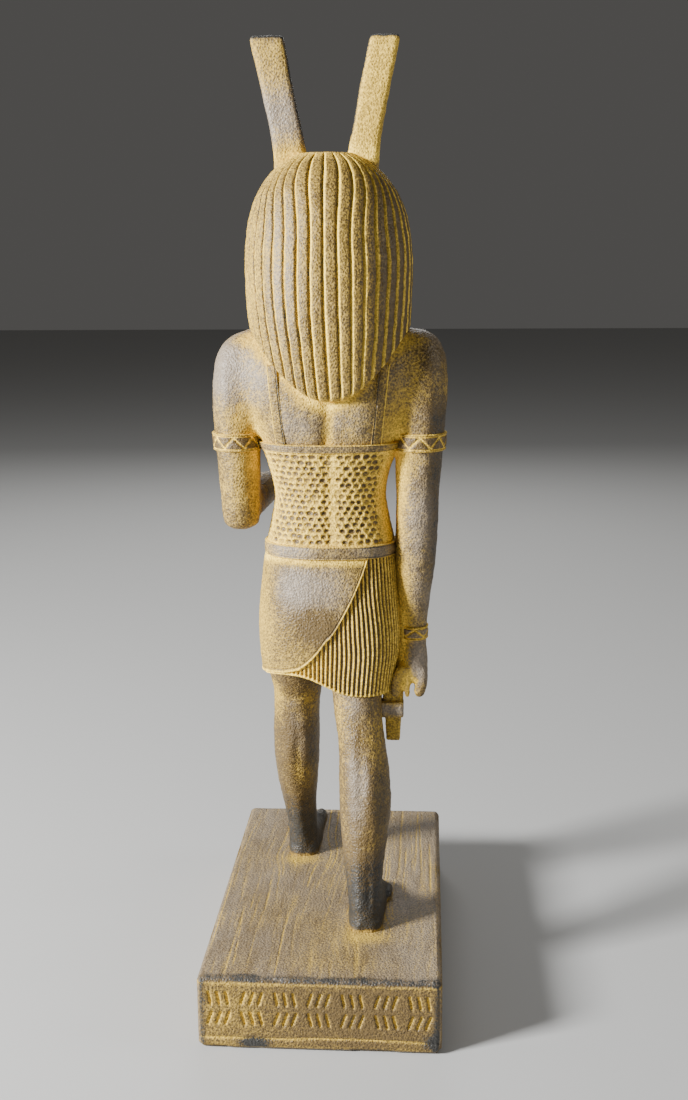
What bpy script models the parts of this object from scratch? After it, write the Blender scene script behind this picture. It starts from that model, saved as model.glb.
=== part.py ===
"""Striding figure with the long-eared animal head of Seth, carved in one block with its plinth.

The figure looks towards -Y, with its left side at +X. The origin is the middle of the plinth's
underside. The figure's stations are written in units of a 350th of its height, so they keep its
pose and proportions at any size, and the plinth has its own width, depth and height.
"""

import math

import bmesh
import bpy
import numpy as np
from mathutils import Vector

# Driving dimensions, in metres
PLINTH_WIDTH = 0.094
PLINTH_DEPTH = 0.162
PLINTH_HEIGHT = 0.030
PLINTH_ROUNDING = 0.0024
FIGURE_HEIGHT = 0.350

# The band of strokes on the plinth's rear face, and the line below it
STROKE_DEPTH = 0.0008
STROKE_WIDTH = 0.0013
BAND_FOOT_SHARE = 0.30
BAND_TOP_SHARE = 0.86
LINE_SHARE = 0.17
LINE_WIDTH = 0.0009
STROKE_GROUPS = 7
STROKES_A_ROW = 3
STROKE_STEP_SHARE = 0.036
STROKE_LENGTH_SHARE = 0.36

# One unit is a 350th of the figure's height, and the figure is sunk a little into the plinth
UNIT = FIGURE_HEIGHT / 350.0
SINK = 1.5

# Counts of what repeats
WIG_FLUTES = 32
PLEATS = 54
LAPPET_STRIPS = 4
FINGERS = 4
WIG_ROWS = 5
TORSO_SIDES = 28
FACE_SIDES = 14
LIMB_SIDES = 12
DIGIT_SIDES = 6
THUMB_SIDES = 8
EAR_SIDES = 8
EYE_SIDES = 8

# Heights of the dress, in units above the plinth
CORSET_FOOT = 156.0
CORSET_TOP = 194.0
BAND_TOP = 197.2
BELT_FOOT = 151.0
BELT_TOP = 156.8
ARMLET_FOOT = 193.4
ARMLET_TOP = 200.5
BRACELET_FOOT = 115.2
BRACELET_TOP = 120.6
WIG_CAP = 307.0
WIG_FRONT_EDGE = 240.5
WIG_BACK_EDGE = 214.5
WIG_EDGE_RISE = 25.6
HEM_FRONT = 98.0
HEM_BACK = 98.6
HEM_WAVE = 4.9

# How far each raised part stands out, in units
CORSET_RAISE = 0.8
BAND_RAISE = 1.5
BELT_RAISE = 2.0
ARMLET_RAISE = 1.1
BRACELET_RAISE = 0.8
FLUTE_DEPTH = 0.9
PLEAT_DEPTH = 0.8
PANEL_RAISE = 0.9
STRAP_RAISE = 0.8
STRAP_SINK = 3.0
STEP_HEIGHT = 0.3

STONE_COLOUR = (0.36, 0.27, 0.15, 1.0)
STONE_ROUGHNESS = 0.85

# Stations: x, y, z, half width, depth in front, depth behind, squareness (1 is an ellipse)
TORSO = (
    (-0.6, 8.0, 140.0, 23.0, 13.0, 15.0, 0.88),
    (-0.9, 8.0, 156.0, 25.0, 15.0, 17.0, 0.86),
    (-1.2, 8.0, 165.0, 23.6, 14.5, 16.3, 0.86),
    (-1.4, 8.0, 175.0, 22.2, 14.2, 16.2, 0.86),
    (-1.3, 8.0, 185.0, 23.8, 15.2, 17.6, 0.85),
    (-1.0, 8.0, 195.0, 26.8, 17.0, 19.6, 0.82),
    (-0.8, 8.0, 206.0, 31.0, 19.5, 21.6, 0.80),
    (-0.6, 8.0, 217.0, 34.5, 20.5, 22.2, 0.80),
    (-0.5, 8.0, 227.0, 37.0, 18.5, 21.0, 0.80),
    (-0.5, 8.0, 234.0, 38.5, 14.8, 17.2, 0.82),
    (-0.5, 8.0, 240.0, 34.5, 11.0, 13.4, 0.88),
    (-0.5, 8.0, 244.6, 24.0, 9.5, 11.4, 0.95),
    (-0.5, 7.0, 254.0, 14.5, 11.0, 11.0, 1.0),
    (-0.5, 6.0, 270.0, 14.0, 12.0, 12.0, 1.0),
)
RIGHT_ARM = (
    (-35.0, 8.0, 241.0, 3.0, 4.0, 4.0, 1.0),
    (-36.0, 8.0, 238.0, 6.6, 8.6, 8.6, 1.0),
    (-37.2, 8.0, 232.0, 8.9, 11.6, 11.6, 0.95),
    (-37.6, 8.2, 224.0, 9.9, 13.2, 13.2, 0.95),
    (-37.4, 8.6, 213.0, 10.1, 12.8, 13.0, 0.95),
    (-37.0, 9.0, 202.0, 9.7, 11.6, 11.8, 0.95),
    (-36.5, 9.4, 190.0, 9.4, 10.4, 10.8, 0.95),
    (-36.4, 9.6, 177.0, 9.1, 9.8, 10.0, 0.95),
    (-36.6, 9.6, 164.0, 9.1, 9.4, 9.6, 0.95),
    (-35.8, 9.2, 148.5, 8.8, 9.2, 9.2, 0.95),
    (-35.3, 8.6, 131.0, 6.3, 7.6, 7.6, 0.95),
    (-35.2, 8.0, 119.0, 4.8, 5.9, 5.9, 0.95),
    (-35.1, 8.0, 111.5, 5.0, 6.6, 6.6, 0.95),
    (-34.9, 7.8, 105.0, 5.7, 8.4, 8.4, 0.90),
    (-34.8, 7.7, 100.5, 5.5, 8.6, 8.6, 0.85),
    (-34.8, 7.6, 97.0, 3.6, 7.0, 7.0, 0.85),
)
# Stone left between the right forearm and the kilt
ARM_BRIDGE = (
    (-30.2, 8.0, 100.0, 3.2, 3.4, 3.6, 1.0),
    (-30.4, 8.0, 112.0, 3.4, 3.8, 4.0, 1.0),
    (-30.4, 8.2, 128.0, 3.4, 4.0, 4.2, 1.0),
    (-29.6, 8.4, 142.0, 3.4, 3.8, 4.0, 1.0),
    (-28.8, 8.4, 150.0, 3.4, 3.4, 3.6, 1.0),
)
LEFT_UPPER_ARM = (
    (32.4, 8.0, 240.0, 3.2, 4.2, 4.2, 1.0),
    (33.8, 8.0, 236.5, 6.4, 8.8, 8.8, 1.0),
    (35.2, 8.0, 231.0, 8.5, 11.6, 11.6, 0.95),
    (36.2, 8.2, 224.0, 9.1, 13.0, 13.0, 0.95),
    (36.6, 8.6, 213.0, 9.3, 12.6, 12.8, 0.95),
    (36.5, 9.0, 202.0, 9.1, 11.4, 11.6, 0.95),
    (36.0, 9.6, 190.0, 8.6, 10.2, 10.6, 0.95),
    (35.6, 10.2, 180.0, 8.1, 9.7, 9.9, 0.95),
    (35.4, 10.3, 172.0, 7.8, 9.3, 9.5, 0.92),
    (35.3, 10.4, 166.0, 7.3, 8.6, 8.8, 0.90),
    (35.3, 10.4, 162.6, 6.0, 7.2, 7.4, 0.95),
    (35.3, 10.4, 161.2, 3.6, 4.6, 4.6, 1.0),
)
# Forearm and fist, along their own path: x, y, z, half width, below, above, squareness
LEFT_FOREARM = (
    (35.8, 13.0, 170.0, 6.5, 7.0, 7.0, 0.95),
    (35.6, 6.0, 170.4, 8.2, 8.6, 8.6, 0.95),
    (34.4, -4.0, 171.0, 8.2, 8.4, 8.4, 0.95),
    (31.6, -17.0, 171.8, 7.2, 7.6, 7.6, 0.95),
    (28.0, -30.0, 172.4, 5.4, 6.0, 6.0, 0.95),
    (25.6, -38.0, 172.6, 5.2, 6.2, 6.2, 0.92),
    (24.0, -44.0, 172.8, 6.2, 7.8, 7.8, 0.85),
    (22.6, -50.0, 173.0, 5.6, 7.4, 7.4, 0.85),
)
LEFT_LEG = (
    (16.0, -33.0, -1.0, 6.0, 7.0, 7.2, 1.0),
    (16.0, -33.2, 6.0, 6.6, 7.2, 7.5, 1.0),
    (16.2, -31.5, 15.0, 6.6, 6.8, 7.3, 1.0),
    (16.1, -28.2, 27.0, 7.5, 7.6, 8.6, 1.0),
    (15.9, -24.5, 40.0, 9.0, 9.0, 10.4, 1.0),
    (15.8, -21.5, 52.0, 10.1, 10.0, 11.8, 1.0),
    (15.8, -18.5, 64.0, 10.4, 10.4, 11.2, 1.0),
    (15.3, -15.0, 76.0, 10.1, 10.8, 9.8, 1.0),
    (14.8, -12.0, 86.0, 10.6, 11.4, 10.4, 1.0),
    (14.6, -7.5, 98.0, 12.2, 11.5, 12.2, 1.0),
    (13.6, -2.5, 112.0, 12.6, 12.0, 13.0, 1.0),
    (13.0, 2.0, 130.0, 12.6, 12.0, 13.0, 1.0),
)
RIGHT_LEG = (
    (-15.4, 35.5, -1.0, 5.8, 7.0, 7.4, 1.0),
    (-15.4, 35.5, 8.0, 6.3, 7.2, 7.7, 1.0),
    (-14.9, 33.0, 19.5, 7.1, 7.2, 8.2, 1.0),
    (-15.2, 29.5, 35.0, 9.3, 8.6, 10.2, 1.0),
    (-15.4, 26.0, 50.0, 10.6, 10.0, 11.8, 1.0),
    (-15.0, 23.5, 60.0, 10.4, 10.4, 11.8, 1.0),
    (-13.6, 20.5, 72.0, 9.1, 10.2, 10.0, 1.0),
    (-11.7, 17.0, 84.0, 8.9, 11.0, 9.4, 1.0),
    (-11.2, 13.4, 96.0, 9.8, 12.5, 10.2, 1.0),
    (-11.6, 10.4, 112.0, 11.6, 13.5, 11.0, 1.0),
    (-12.0, 8.5, 130.0, 12.0, 14.0, 12.5, 1.0),
)
# A foot from the heel forwards: outward shift, distance, half width, height, squareness
FOOT = (
    (0.0, 0.3, 3.0, 5.0, 1.0),
    (0.0, 2.5, 5.5, 9.5, 1.0),
    (0.0, 7.5, 6.6, 13.0, 1.0),
    (0.0, 14.0, 6.9, 14.0, 1.0),
    (0.2, 22.0, 7.3, 11.2, 1.0),
    (0.4, 30.0, 8.0, 8.0, 0.95),
    (0.5, 37.0, 8.4, 6.2, 0.9),
    (0.5, 41.0, 7.6, 4.4, 0.9),
    (0.3, 44.5, 6.4, 1.5, 0.9),
)
# A toe: place across from the inner side, distance of its tip from the heel, radius
TOE_SET = (
    (-5.6, 47.2, 2.9),
    (-1.2, 46.6, 1.9),
    (2.2, 45.2, 1.8),
    (5.3, 43.2, 1.7),
    (8.2, 40.6, 1.7),
)
# The thighs push the kilt out: angle from the back towards the left, width in degrees, amount
THIGH_PUSHES = (
    (146.0, 28.0, 4.2),
    (-33.0, 22.0, 1.6),
)
PUSH_TOP = 148.0
PUSH_FULL = 108.0
# A toe along its length: distance behind its tip, share of its radius, rise
TOE_FORM = (
    (11.0, 0.9, 1.6),
    (4.5, 1.0, 0.8),
    (1.6, 0.95, 0.5),
    (0.3, 0.55, 0.3),
    (0.0, 0.2, 0.2),
)
LEFT_HEEL = (15.9, -25.6)
RIGHT_HEEL = (-15.4, 43.6)
# Wig as a full bell, before its lower edge is cut: x, y, z, half width, front, back, squareness
WIG = (
    (-2.6, 10.0, 212.0, 26.0, 15.0, 23.5, 0.88),
    (-2.2, 10.0, 222.0, 28.0, 17.0, 26.4, 0.88),
    (-1.8, 10.0, 232.0, 30.0, 19.0, 28.6, 0.90),
    (-1.3, 10.0, 243.0, 31.6, 21.0, 30.0, 0.92),
    (-1.1, 10.0, 255.0, 32.4, 23.0, 30.6, 0.94),
    (-1.1, 10.0, 267.0, 32.6, 24.0, 30.4, 0.96),
    (-1.0, 10.0, 277.0, 31.8, 24.0, 29.0, 0.98),
    (-0.9, 10.0, 286.0, 29.8, 23.0, 26.4, 1.0),
    (-0.7, 10.0, 294.0, 26.2, 20.5, 22.6, 1.0),
    (-0.5, 10.0, 300.0, 21.5, 17.0, 17.8, 1.0),
    (-0.3, 10.0, 304.5, 16.0, 13.0, 12.6, 1.0),
    (-0.2, 10.0, 307.0, 11.0, 9.5, 8.8, 1.0),
)
# Animal face, along its own path: x, y, z, half width, below, above, squareness
FACE = (
    (-0.5, 4.0, 274.0, 20.0, 22.0, 22.0, 0.95),
    (-0.5, -12.0, 273.0, 19.5, 20.0, 20.5, 0.92),
    (-0.5, -20.0, 272.0, 16.5, 16.5, 17.0, 0.90),
    (-0.5, -28.0, 270.0, 12.2, 12.5, 12.4, 0.90),
    (-0.5, -38.0, 266.0, 8.8, 9.2, 8.8, 0.90),
    (-0.5, -48.0, 260.0, 7.2, 7.2, 7.2, 0.90),
    (-0.5, -56.0, 253.0, 6.6, 6.6, 6.6, 0.88),
    (-0.5, -61.0, 246.5, 6.2, 6.2, 6.2, 0.85),
    (-0.5, -62.6, 243.4, 3.6, 3.8, 3.8, 0.85),
)
KILT = (
    (-0.3, 6.5, 92.0, 26.6, 25.8, 17.6, 0.84),
    (-0.5, 7.0, 101.0, 27.6, 25.0, 18.8, 0.84),
    (-0.8, 7.5, 113.0, 28.8, 23.2, 20.0, 0.84),
    (-0.6, 8.0, 127.0, 28.6, 20.0, 20.4, 0.84),
    (-0.5, 8.0, 139.0, 27.6, 17.3, 19.4, 0.85),
    (-0.8, 8.0, 150.0, 26.6, 15.6, 17.6, 0.86),
    (-0.9, 8.0, 154.0, 26.0, 15.2, 17.0, 0.86),
)
LEFT_EAR = (
    (14.9, 10.0, 298.0, 6.4, 3.6, 3.6, 0.35),
    (15.9, 10.0, 310.0, 6.2, 3.3, 3.3, 0.35),
    (18.9, 10.0, 330.0, 6.3, 2.8, 2.8, 0.35),
    (22.1, 10.0, 350.0, 6.5, 2.4, 2.4, 0.35),
)
RIGHT_EAR = (
    (-12.2, 10.0, 298.0, 5.7, 3.6, 3.6, 0.35),
    (-13.7, 10.0, 310.0, 5.6, 3.3, 3.3, 0.35),
    (-17.9, 10.0, 330.0, 5.9, 2.8, 2.8, 0.35),
    (-22.7, 10.0, 350.0, 6.1, 2.4, 2.4, 0.35),
)
# Tips of the right hand's fingers, closed on its palm: x, y, z, half width, front, back, squareness
RIGHT_TIPS = (
    (-31.4, 7.6, 104.0, 2.7, 8.8, 9.0, 0.7),
    (-29.6, 7.6, 99.0, 2.7, 8.8, 9.0, 0.7),
    (-29.0, 7.6, 95.6, 2.5, 8.5, 8.7, 0.7),
    (-29.0, 7.6, 92.6, 1.2, 7.4, 7.6, 0.8),
)
# Paths of the first finger of each fist, and how far each next finger lies from the one before
RIGHT_FINGER = ((-38.0, 14.2, 104.0), (-38.4, 14.2, 98.0), (-37.4, 14.2, 93.4))
RIGHT_FINGER_STEP = 4.4
LEFT_CURL = (
    (28.2, -46.0, 179.4),
    (27.2, -53.0, 179.4),
    (22.4, -57.0, 179.4),
    (17.6, -54.6, 179.4),
    (17.4, -49.0, 179.4),
)
LEFT_FINGER_STEP = 4.3
FINGER_RADIUS = 2.7
FINGER_THICK = 2.4
# Thumbs: x, y, z, half width, below, above, squareness
RIGHT_THUMB = (
    (-33.0, -2.4, 106.0, 2.7, 2.6, 2.6, 1.0),
    (-30.8, -3.0, 100.0, 2.7, 2.6, 2.6, 1.0),
    (-30.0, -2.0, 95.0, 2.7, 2.6, 2.6, 1.0),
    (-30.0, -0.6, 91.4, 2.7, 2.6, 2.6, 1.0),
)
LEFT_THUMB = (
    (19.4, -42.0, 178.0, 2.4, 2.3, 2.3, 1.0),
    (17.8, -48.0, 180.6, 2.4, 2.3, 2.3, 1.0),
    (18.6, -53.0, 182.0, 2.4, 2.3, 2.3, 1.0),
    (20.6, -55.4, 182.0, 2.4, 2.3, 2.3, 1.0),
)
# Stone inside the left fist, and between the right fist and the kilt, corner to corner
LEFT_GRIP = ((17.8, -56.3, 166.0), (27.6, -44.0, 180.5))
RIGHT_WEB = ((-31.0, 8.0, 87.0), (-22.5, 14.5, 97.0))
# The tab in front: z, half width, y of its face
TAB = (
    (96.5, 7.6, -21.2),
    (112.0, 7.2, -18.6),
    (130.0, 6.6, -13.6),
    (152.0, 5.8, -10.2),
)
TAB_MIDDLE = -0.5
TAB_THICKNESS = 6.0
TAB_FOLDS = 8
# One strip of a fall of the wig: y, z, half width, front, back, squareness
LAPPET = (
    (-5.0, 262.0, 2.8, 4.0, 4.0, 0.8),
    (-10.5, 248.0, 2.8, 4.2, 4.2, 0.8),
    (-13.2, 234.0, 2.8, 3.6, 3.6, 0.8),
    (-14.4, 220.0, 2.8, 3.2, 3.2, 0.8),
    (-13.6, 206.0, 2.8, 3.0, 3.0, 0.8),
)
LAPPET_START = 10.6
LAPPET_STEP = 4.1
# An eye on the left cheek, from front to back: x, y, z, share of its full size
EYE = (
    (13.1, -24.7, 276.4, 0.25),
    (13.74, -23.02, 276.24, 0.75),
    (14.7, -20.5, 276.0, 1.0),
    (15.66, -17.98, 275.76, 0.75),
    (16.3, -16.3, 275.6, 0.25),
)
EYE_BULGE = 1.8
EYE_HALF_HEIGHT = 2.2
FACE_MIDDLE = -0.5
ANKH_BAR = (-25.7, 13.0, 82.5, 89.0, 5.8, 3.2)
ANKH_STEM = (-26.5, 13.0, 72.5, 84.0, 2.6, 3.1, 2.6)
BACK_STRAPS = (17.2, -19.8)
FRONT_STRAPS = (19.5, -20.5)
STRAP_HALF_WIDTH = 2.0
STRAP_FOOT = 195.5
BACK_STRAP_TOP = 228.0
FRONT_STRAP_TOP = 236.0
STRAP_LEAN = 0.0053


def point(x, y, z):
    """A place in units above the plinth as a place in metres."""
    return Vector((x * UNIT, y * UNIT, PLINTH_HEIGHT + z * UNIT))


def smooth_rows(stations, count):
    """Rows read at even steps from the smooth cubic that runs through the stations."""
    table = np.array(stations, dtype=float)
    slope = np.gradient(table, axis=0)
    at = np.linspace(0.0, len(table) - 1.0, count)
    low = np.minimum(at.astype(int), len(table) - 2)
    share = (at - low)[:, None]
    start = table[low] * (2 * share**3 - 3 * share**2 + 1) + slope[low] * (share**3 - 2 * share**2 + share)
    end = table[low + 1] * (3 * share**2 - 2 * share**3) + slope[low + 1] * (share**3 - share**2)
    return start + end


def row_at(stations, z):
    """The station row at height z, by straight steps between the stations."""
    table = np.array(stations, dtype=float)
    return [float(np.interp(z, table[:, 2], table[:, column])) for column in range(table.shape[1])]


def rounded(value, squareness):
    """Cosine or sine of a rounded box: squareness 1 gives a circle, and less gives flatter sides."""
    return math.copysign(abs(value) ** squareness, value)


def offset_on(row, turn, raise_by=0.0):
    """The x and y of a level section at an angle counted from the back towards the left side."""
    x, y, _, half_width, front, back, squareness = row
    depth = back if math.cos(turn) >= 0 else front
    across = (half_width + raise_by) * rounded(math.sin(turn), squareness)
    along = (depth + raise_by) * rounded(math.cos(turn), squareness)
    return x + across, y + along


def solid_from_rings(name, rings, top=None, bottom=None):
    """A closed mesh from rings of equal count, with a fan or a flat face at each end."""
    grid = bmesh.new()
    loops = [[grid.verts.new(place) for place in ring] for ring in rings]
    for lower, upper in zip(loops, loops[1:]):
        for i in range(len(lower)):
            j = (i + 1) % len(lower)
            grid.faces.new((lower[i], lower[j], upper[j], upper[i]))
    for loop, centre in ((loops[0], bottom), (loops[-1], top)):
        if centre is None:
            grid.faces.new(loop)
            continue
        hub = grid.verts.new(centre)
        for i in range(len(loop)):
            grid.faces.new((loop[i], loop[(i + 1) % len(loop)], hub))
    bmesh.ops.recalc_face_normals(grid, faces=grid.faces)
    mesh = bpy.data.meshes.new(name)
    grid.to_mesh(mesh)
    grid.free()
    made = bpy.data.objects.new(name, mesh)
    bpy.context.scene.collection.objects.link(made)
    return made


def level_loft(name, stations, count, sides, raise_by=0.0):
    """A solid whose sections are level, as on an arm, a leg or the torso."""
    rings = []
    for row in smooth_rows(stations, count):
        ring = []
        for i in range(sides):
            x, y = offset_on(row, 2 * math.pi * i / sides, raise_by)
            ring.append(point(x, y, row[2]))
        rings.append(ring)
    return solid_from_rings(name, rings)


def path_loft(name, stations, count, sides, across=Vector((1, 0, 0))):
    """A solid whose sections stand square to its own path, as on a forearm or a finger."""
    rows = smooth_rows(stations, count)
    centres = [Vector(row[:3]) for row in rows]
    rings = []
    for i, row in enumerate(rows):
        tangent = (centres[min(i + 1, len(rows) - 1)] - centres[max(i - 1, 0)]).normalized()
        up = tangent.cross(across).normalized()
        ring = []
        for k in range(sides):
            turn = 2 * math.pi * k / sides
            reach = row[5] if math.cos(turn) >= 0 else row[4]
            place = (
                centres[i]
                + across * (row[3] * rounded(math.sin(turn), row[6]))
                + up * (reach * rounded(math.cos(turn), row[6]))
            )
            ring.append(point(*place))
        rings.append(ring)
    return solid_from_rings(name, rings)


def band_round(name, stations, foot, top, raise_by, bevel=0.5):
    """A band that follows an arm between two heights, with bevelled rims."""
    low = raise_by - bevel
    rims = ((foot, low), (foot + bevel, raise_by), (top - bevel, raise_by), (top, low))
    rings = []
    for z, lift in rims:
        row = row_at(stations[::-1], z)
        turns = [2 * math.pi * i / LIMB_SIDES for i in range(LIMB_SIDES)]
        rings.append([point(*offset_on(row, turn, lift), z) for turn in turns])
    return solid_from_rings(name, rings)


def box_between(name, low, high):
    """A plain block between two corners, given in metres."""
    corners = ((low[0], low[1]), (high[0], low[1]), (high[0], high[1]), (low[0], high[1]))
    rings = [[Vector((x, y, z)) for x, y in corners] for z in (low[2], high[2])]
    return solid_from_rings(name, rings)


def torso():
    """The torso with its belt, corset and upper band as steps in one surface."""
    rim = STEP_HEIGHT
    rows = [(TORSO[0][2], 0.0), (BELT_FOOT - rim, 0.0), (BELT_FOOT, BELT_RAISE)]
    rows += [(BELT_TOP, BELT_RAISE), (BELT_TOP + rim, CORSET_RAISE)]
    rows += [(z, CORSET_RAISE) for z in (165.0, 175.0, 185.0, CORSET_TOP)]
    rows += [(CORSET_TOP + rim, BAND_RAISE), (BAND_TOP, BAND_RAISE), (BAND_TOP + rim, 0.0)]
    rows += [(row[2], 0.0) for row in TORSO if row[2] > BAND_TOP]
    rings = []
    for z, lift in rows:
        row = row_at(TORSO, z)
        turns = [2 * math.pi * i / TORSO_SIDES for i in range(TORSO_SIDES)]
        rings.append([point(*offset_on(row, turn, lift), z) for turn in turns])
    return solid_from_rings("torso", rings)


def wig():
    """The bell of the wig, fluted from the cap to its cut lower edge, and closed inside the neck."""
    corners = []
    for flute in range(WIG_FLUTES):
        behind_face = WIG_FLUTES * 0.36 < flute < WIG_FLUTES * 0.64
        for share, depth in ((0.0, FLUTE_DEPTH), (0.2, 0.0), (0.8, 0.0))[: 1 if behind_face else 3]:
            corners.append((2 * math.pi * (flute + share) / WIG_FLUTES, depth))
    rings = []
    for step in range(-1, WIG_ROWS):
        share = max(step, 0) / (WIG_ROWS - 1)
        ring = []
        for turn, depth in corners:
            edge = wig_edge(turn)
            z = edge + (WIG_CAP - edge) * (1 - (1 - share) ** 1.25)
            row = row_at(WIG, z)
            fade = min(1.0, (WIG_CAP - z) / 6.0)
            x, y = offset_on(row, turn, -depth * fade)
            if step < 0:
                x, y, z = row[0] + (x - row[0]) * 0.5, row[1] + (y - row[1]) * 0.5, z + 3.0
            ring.append(point(x, y, z))
        rings.append(ring)
    crown = point(-0.2, 10.0, WIG_CAP + 0.6)
    return solid_from_rings("wig", rings, top=crown, bottom=point(-0.5, 10.0, 246.0))


def wig_edge(turn):
    """Height of the wig's lower edge: a bow that hangs to its lowest at the back."""
    if math.cos(turn) < 0:
        return WIG_FRONT_EDGE
    return WIG_BACK_EDGE + WIG_EDGE_RISE * abs(math.sin(turn)) ** 2.1


def hem_height(turn, x):
    """Height of the kilt's hem: a wave behind that is higher over the left leg, and level in front."""
    back = HEM_BACK + HEM_WAVE * math.tanh((x - 1.0) / 9.0)
    back -= 3.0 * (max(x, 0.0) / 27.0) ** 4
    share = min(1.0, max(0.0, (math.cos(turn) + 0.8) / 0.8))
    share = share * share * (3 - 2 * share)
    return back * share + HEM_FRONT * (1 - share)


def thigh_push(turn, z):
    """How far the stride pushes the kilt out, over the left thigh in front and the right one behind."""
    degrees = math.degrees(turn) % 360.0
    share = min(1.0, max(0.0, (PUSH_TOP - z) / (PUSH_TOP - PUSH_FULL)))
    total = 0.0
    for middle, width, amount in THIGH_PUSHES:
        away = (degrees - middle + 180.0) % 360.0 - 180.0
        total += amount * math.exp(-((away / width) ** 2))
    return total * share * share * (3 - 2 * share)


def rim_share(turn):
    """Height of the smooth panel's rim on the kilt, from 0 at the hem to 1 at the belt."""
    degrees = math.degrees(math.atan2(math.sin(turn), math.cos(turn)))
    if -34.0 <= degrees <= 62.0:
        return ((62.0 - degrees) / 96.0) ** 1.9
    if 62.0 < degrees < 100.0:
        return 0.0
    if 100.0 <= degrees <= 166.0:
        return ((degrees - 100.0) / 66.0) ** 1.9
    return 2.0


def kilt():
    """The kilt: pleats on the right and under the raised smooth panel, which ends in a curved rim."""
    count = PLEATS * 2
    rings = [[] for _ in range(6)]
    for i in range(count):
        turn = 2 * math.pi * i / count
        x, _ = offset_on(row_at(KILT, 100.0), turn)
        foot = hem_height(turn, x)
        groove = -PLEAT_DEPTH if i % 2 else 0.0
        rim = rim_share(turn)
        if rim > 1.0:
            rows = [(share, groove) for share in (0.0, 0.475, 0.94, 0.95, 0.975, 1.0)]
        else:
            rim = min(0.95, max(0.05, rim))
            rows = [(0.0, groove), (rim * 0.5, groove), (rim - 0.01, groove)]
            rows += [(rim, PANEL_RAISE), ((1 + rim) / 2, PANEL_RAISE * 0.8), (1.0, PANEL_RAISE * 0.6)]
        for ring, (share, lift) in zip(rings, rows):
            z = foot + (KILT[-1][2] - foot) * share
            lift += thigh_push(turn, z)
            ring.append(point(*offset_on(row_at(KILT, z), turn, lift), z))
    return solid_from_rings("kilt", rings, bottom=point(0.0, 7.0, 106.0))


def front_tab():
    """The pleated tab that hangs from the belt in front."""
    rings = []
    for z, half, front in TAB:
        ring = []
        for k in range(TAB_FOLDS + 1):
            across = (k / TAB_FOLDS - 0.5) * 2 * half
            fold = PLEAT_DEPTH if k % 2 else 0.0
            ring.append(point(TAB_MIDDLE + across, front - 0.1 - fold, z))
        ring.append(point(TAB_MIDDLE + half, front + TAB_THICKNESS, z))
        ring.append(point(TAB_MIDDLE - half, front + TAB_THICKNESS, z))
        rings.append(ring)
    return solid_from_rings("front_tab", rings)


def feet():
    """Both feet, each a low loft from heel to ball with toes in front."""
    made = []
    for heel, side in ((LEFT_HEEL, 1), (RIGHT_HEEL, -1)):
        stations = []
        for shift, distance, half_width, height, squareness in FOOT:
            x = heel[0] + side * shift
            stations.append((x, heel[1] - distance, 0.0, half_width, SINK, height, squareness))
        made.append(path_loft("foot", stations, 9, LIMB_SIDES))
        for across, tip, radius in TOE_SET:
            x = heel[0] + side * (0.4 + across)
            toe = []
            for back, share, rise in TOE_FORM:
                size = radius * share
                toe.append((x, heel[1] - tip + back, rise, size, size + rise + 0.4, size + 0.6, 0.9))
            made.append(path_loft("toe", toe, 5, DIGIT_SIDES))
    return made


def hands():
    """The curled fingers and thumbs of the two fists."""
    made = []
    sideways = Vector((0, 1, 0))
    for finger in range(FINGERS):
        curl = []
        for x, y, z in RIGHT_FINGER:
            y -= RIGHT_FINGER_STEP * finger
            curl.append((x, y, z, FINGER_RADIUS, FINGER_THICK, FINGER_THICK, 1.0))
        made.append(path_loft("finger", curl, 3, DIGIT_SIDES, sideways))
        curl = [(x, y, z - LEFT_FINGER_STEP * finger) for x, y, z in LEFT_CURL]
        made.append(flat_curl("finger", curl, FINGER_RADIUS))
    made.append(level_loft("finger_tips", RIGHT_TIPS, 4, THUMB_SIDES))
    made.append(path_loft("thumb", RIGHT_THUMB, 5, THUMB_SIDES, sideways))
    made.append(path_loft("thumb", LEFT_THUMB, 5, THUMB_SIDES))
    made.append(box_between("grip", point(*LEFT_GRIP[0]), point(*LEFT_GRIP[1])))
    return made


def flat_curl(name, places, radius):
    """A finger whose path lies level, as it wraps round an upright grip."""
    rows = smooth_rows(places, 5)
    centres = [Vector(row) for row in rows]
    rings = []
    for i, centre in enumerate(centres):
        tangent = (centres[min(i + 1, 4)] - centres[max(i - 1, 0)]).normalized()
        side = tangent.cross(Vector((0, 0, 1)))
        ring = []
        for k in range(DIGIT_SIDES):
            turn = 2 * math.pi * k / DIGIT_SIDES
            place = centre + side * (radius * math.sin(turn))
            place.z += radius * math.cos(turn)
            ring.append(point(*place))
        rings.append(ring)
    return solid_from_rings(name, rings)


def ankh():
    """Crossbar and stem of the ankh below the right fist; its loop is inside the fist."""
    x, y, foot, top, half, thick = ANKH_BAR
    bar = box_between("bar", point(x - half, y - thick, foot), point(x + half, y + thick, top))
    x, y, foot, top, half, thick, flare = ANKH_STEM
    low = point(x - flare, y - thick + 0.4, foot)
    stem = box_between("stem", low, point(x + half, y + thick - 0.4, top))
    web = box_between("web", point(*RIGHT_WEB[0]), point(*RIGHT_WEB[1]))
    return [bar, stem, web]


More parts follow.
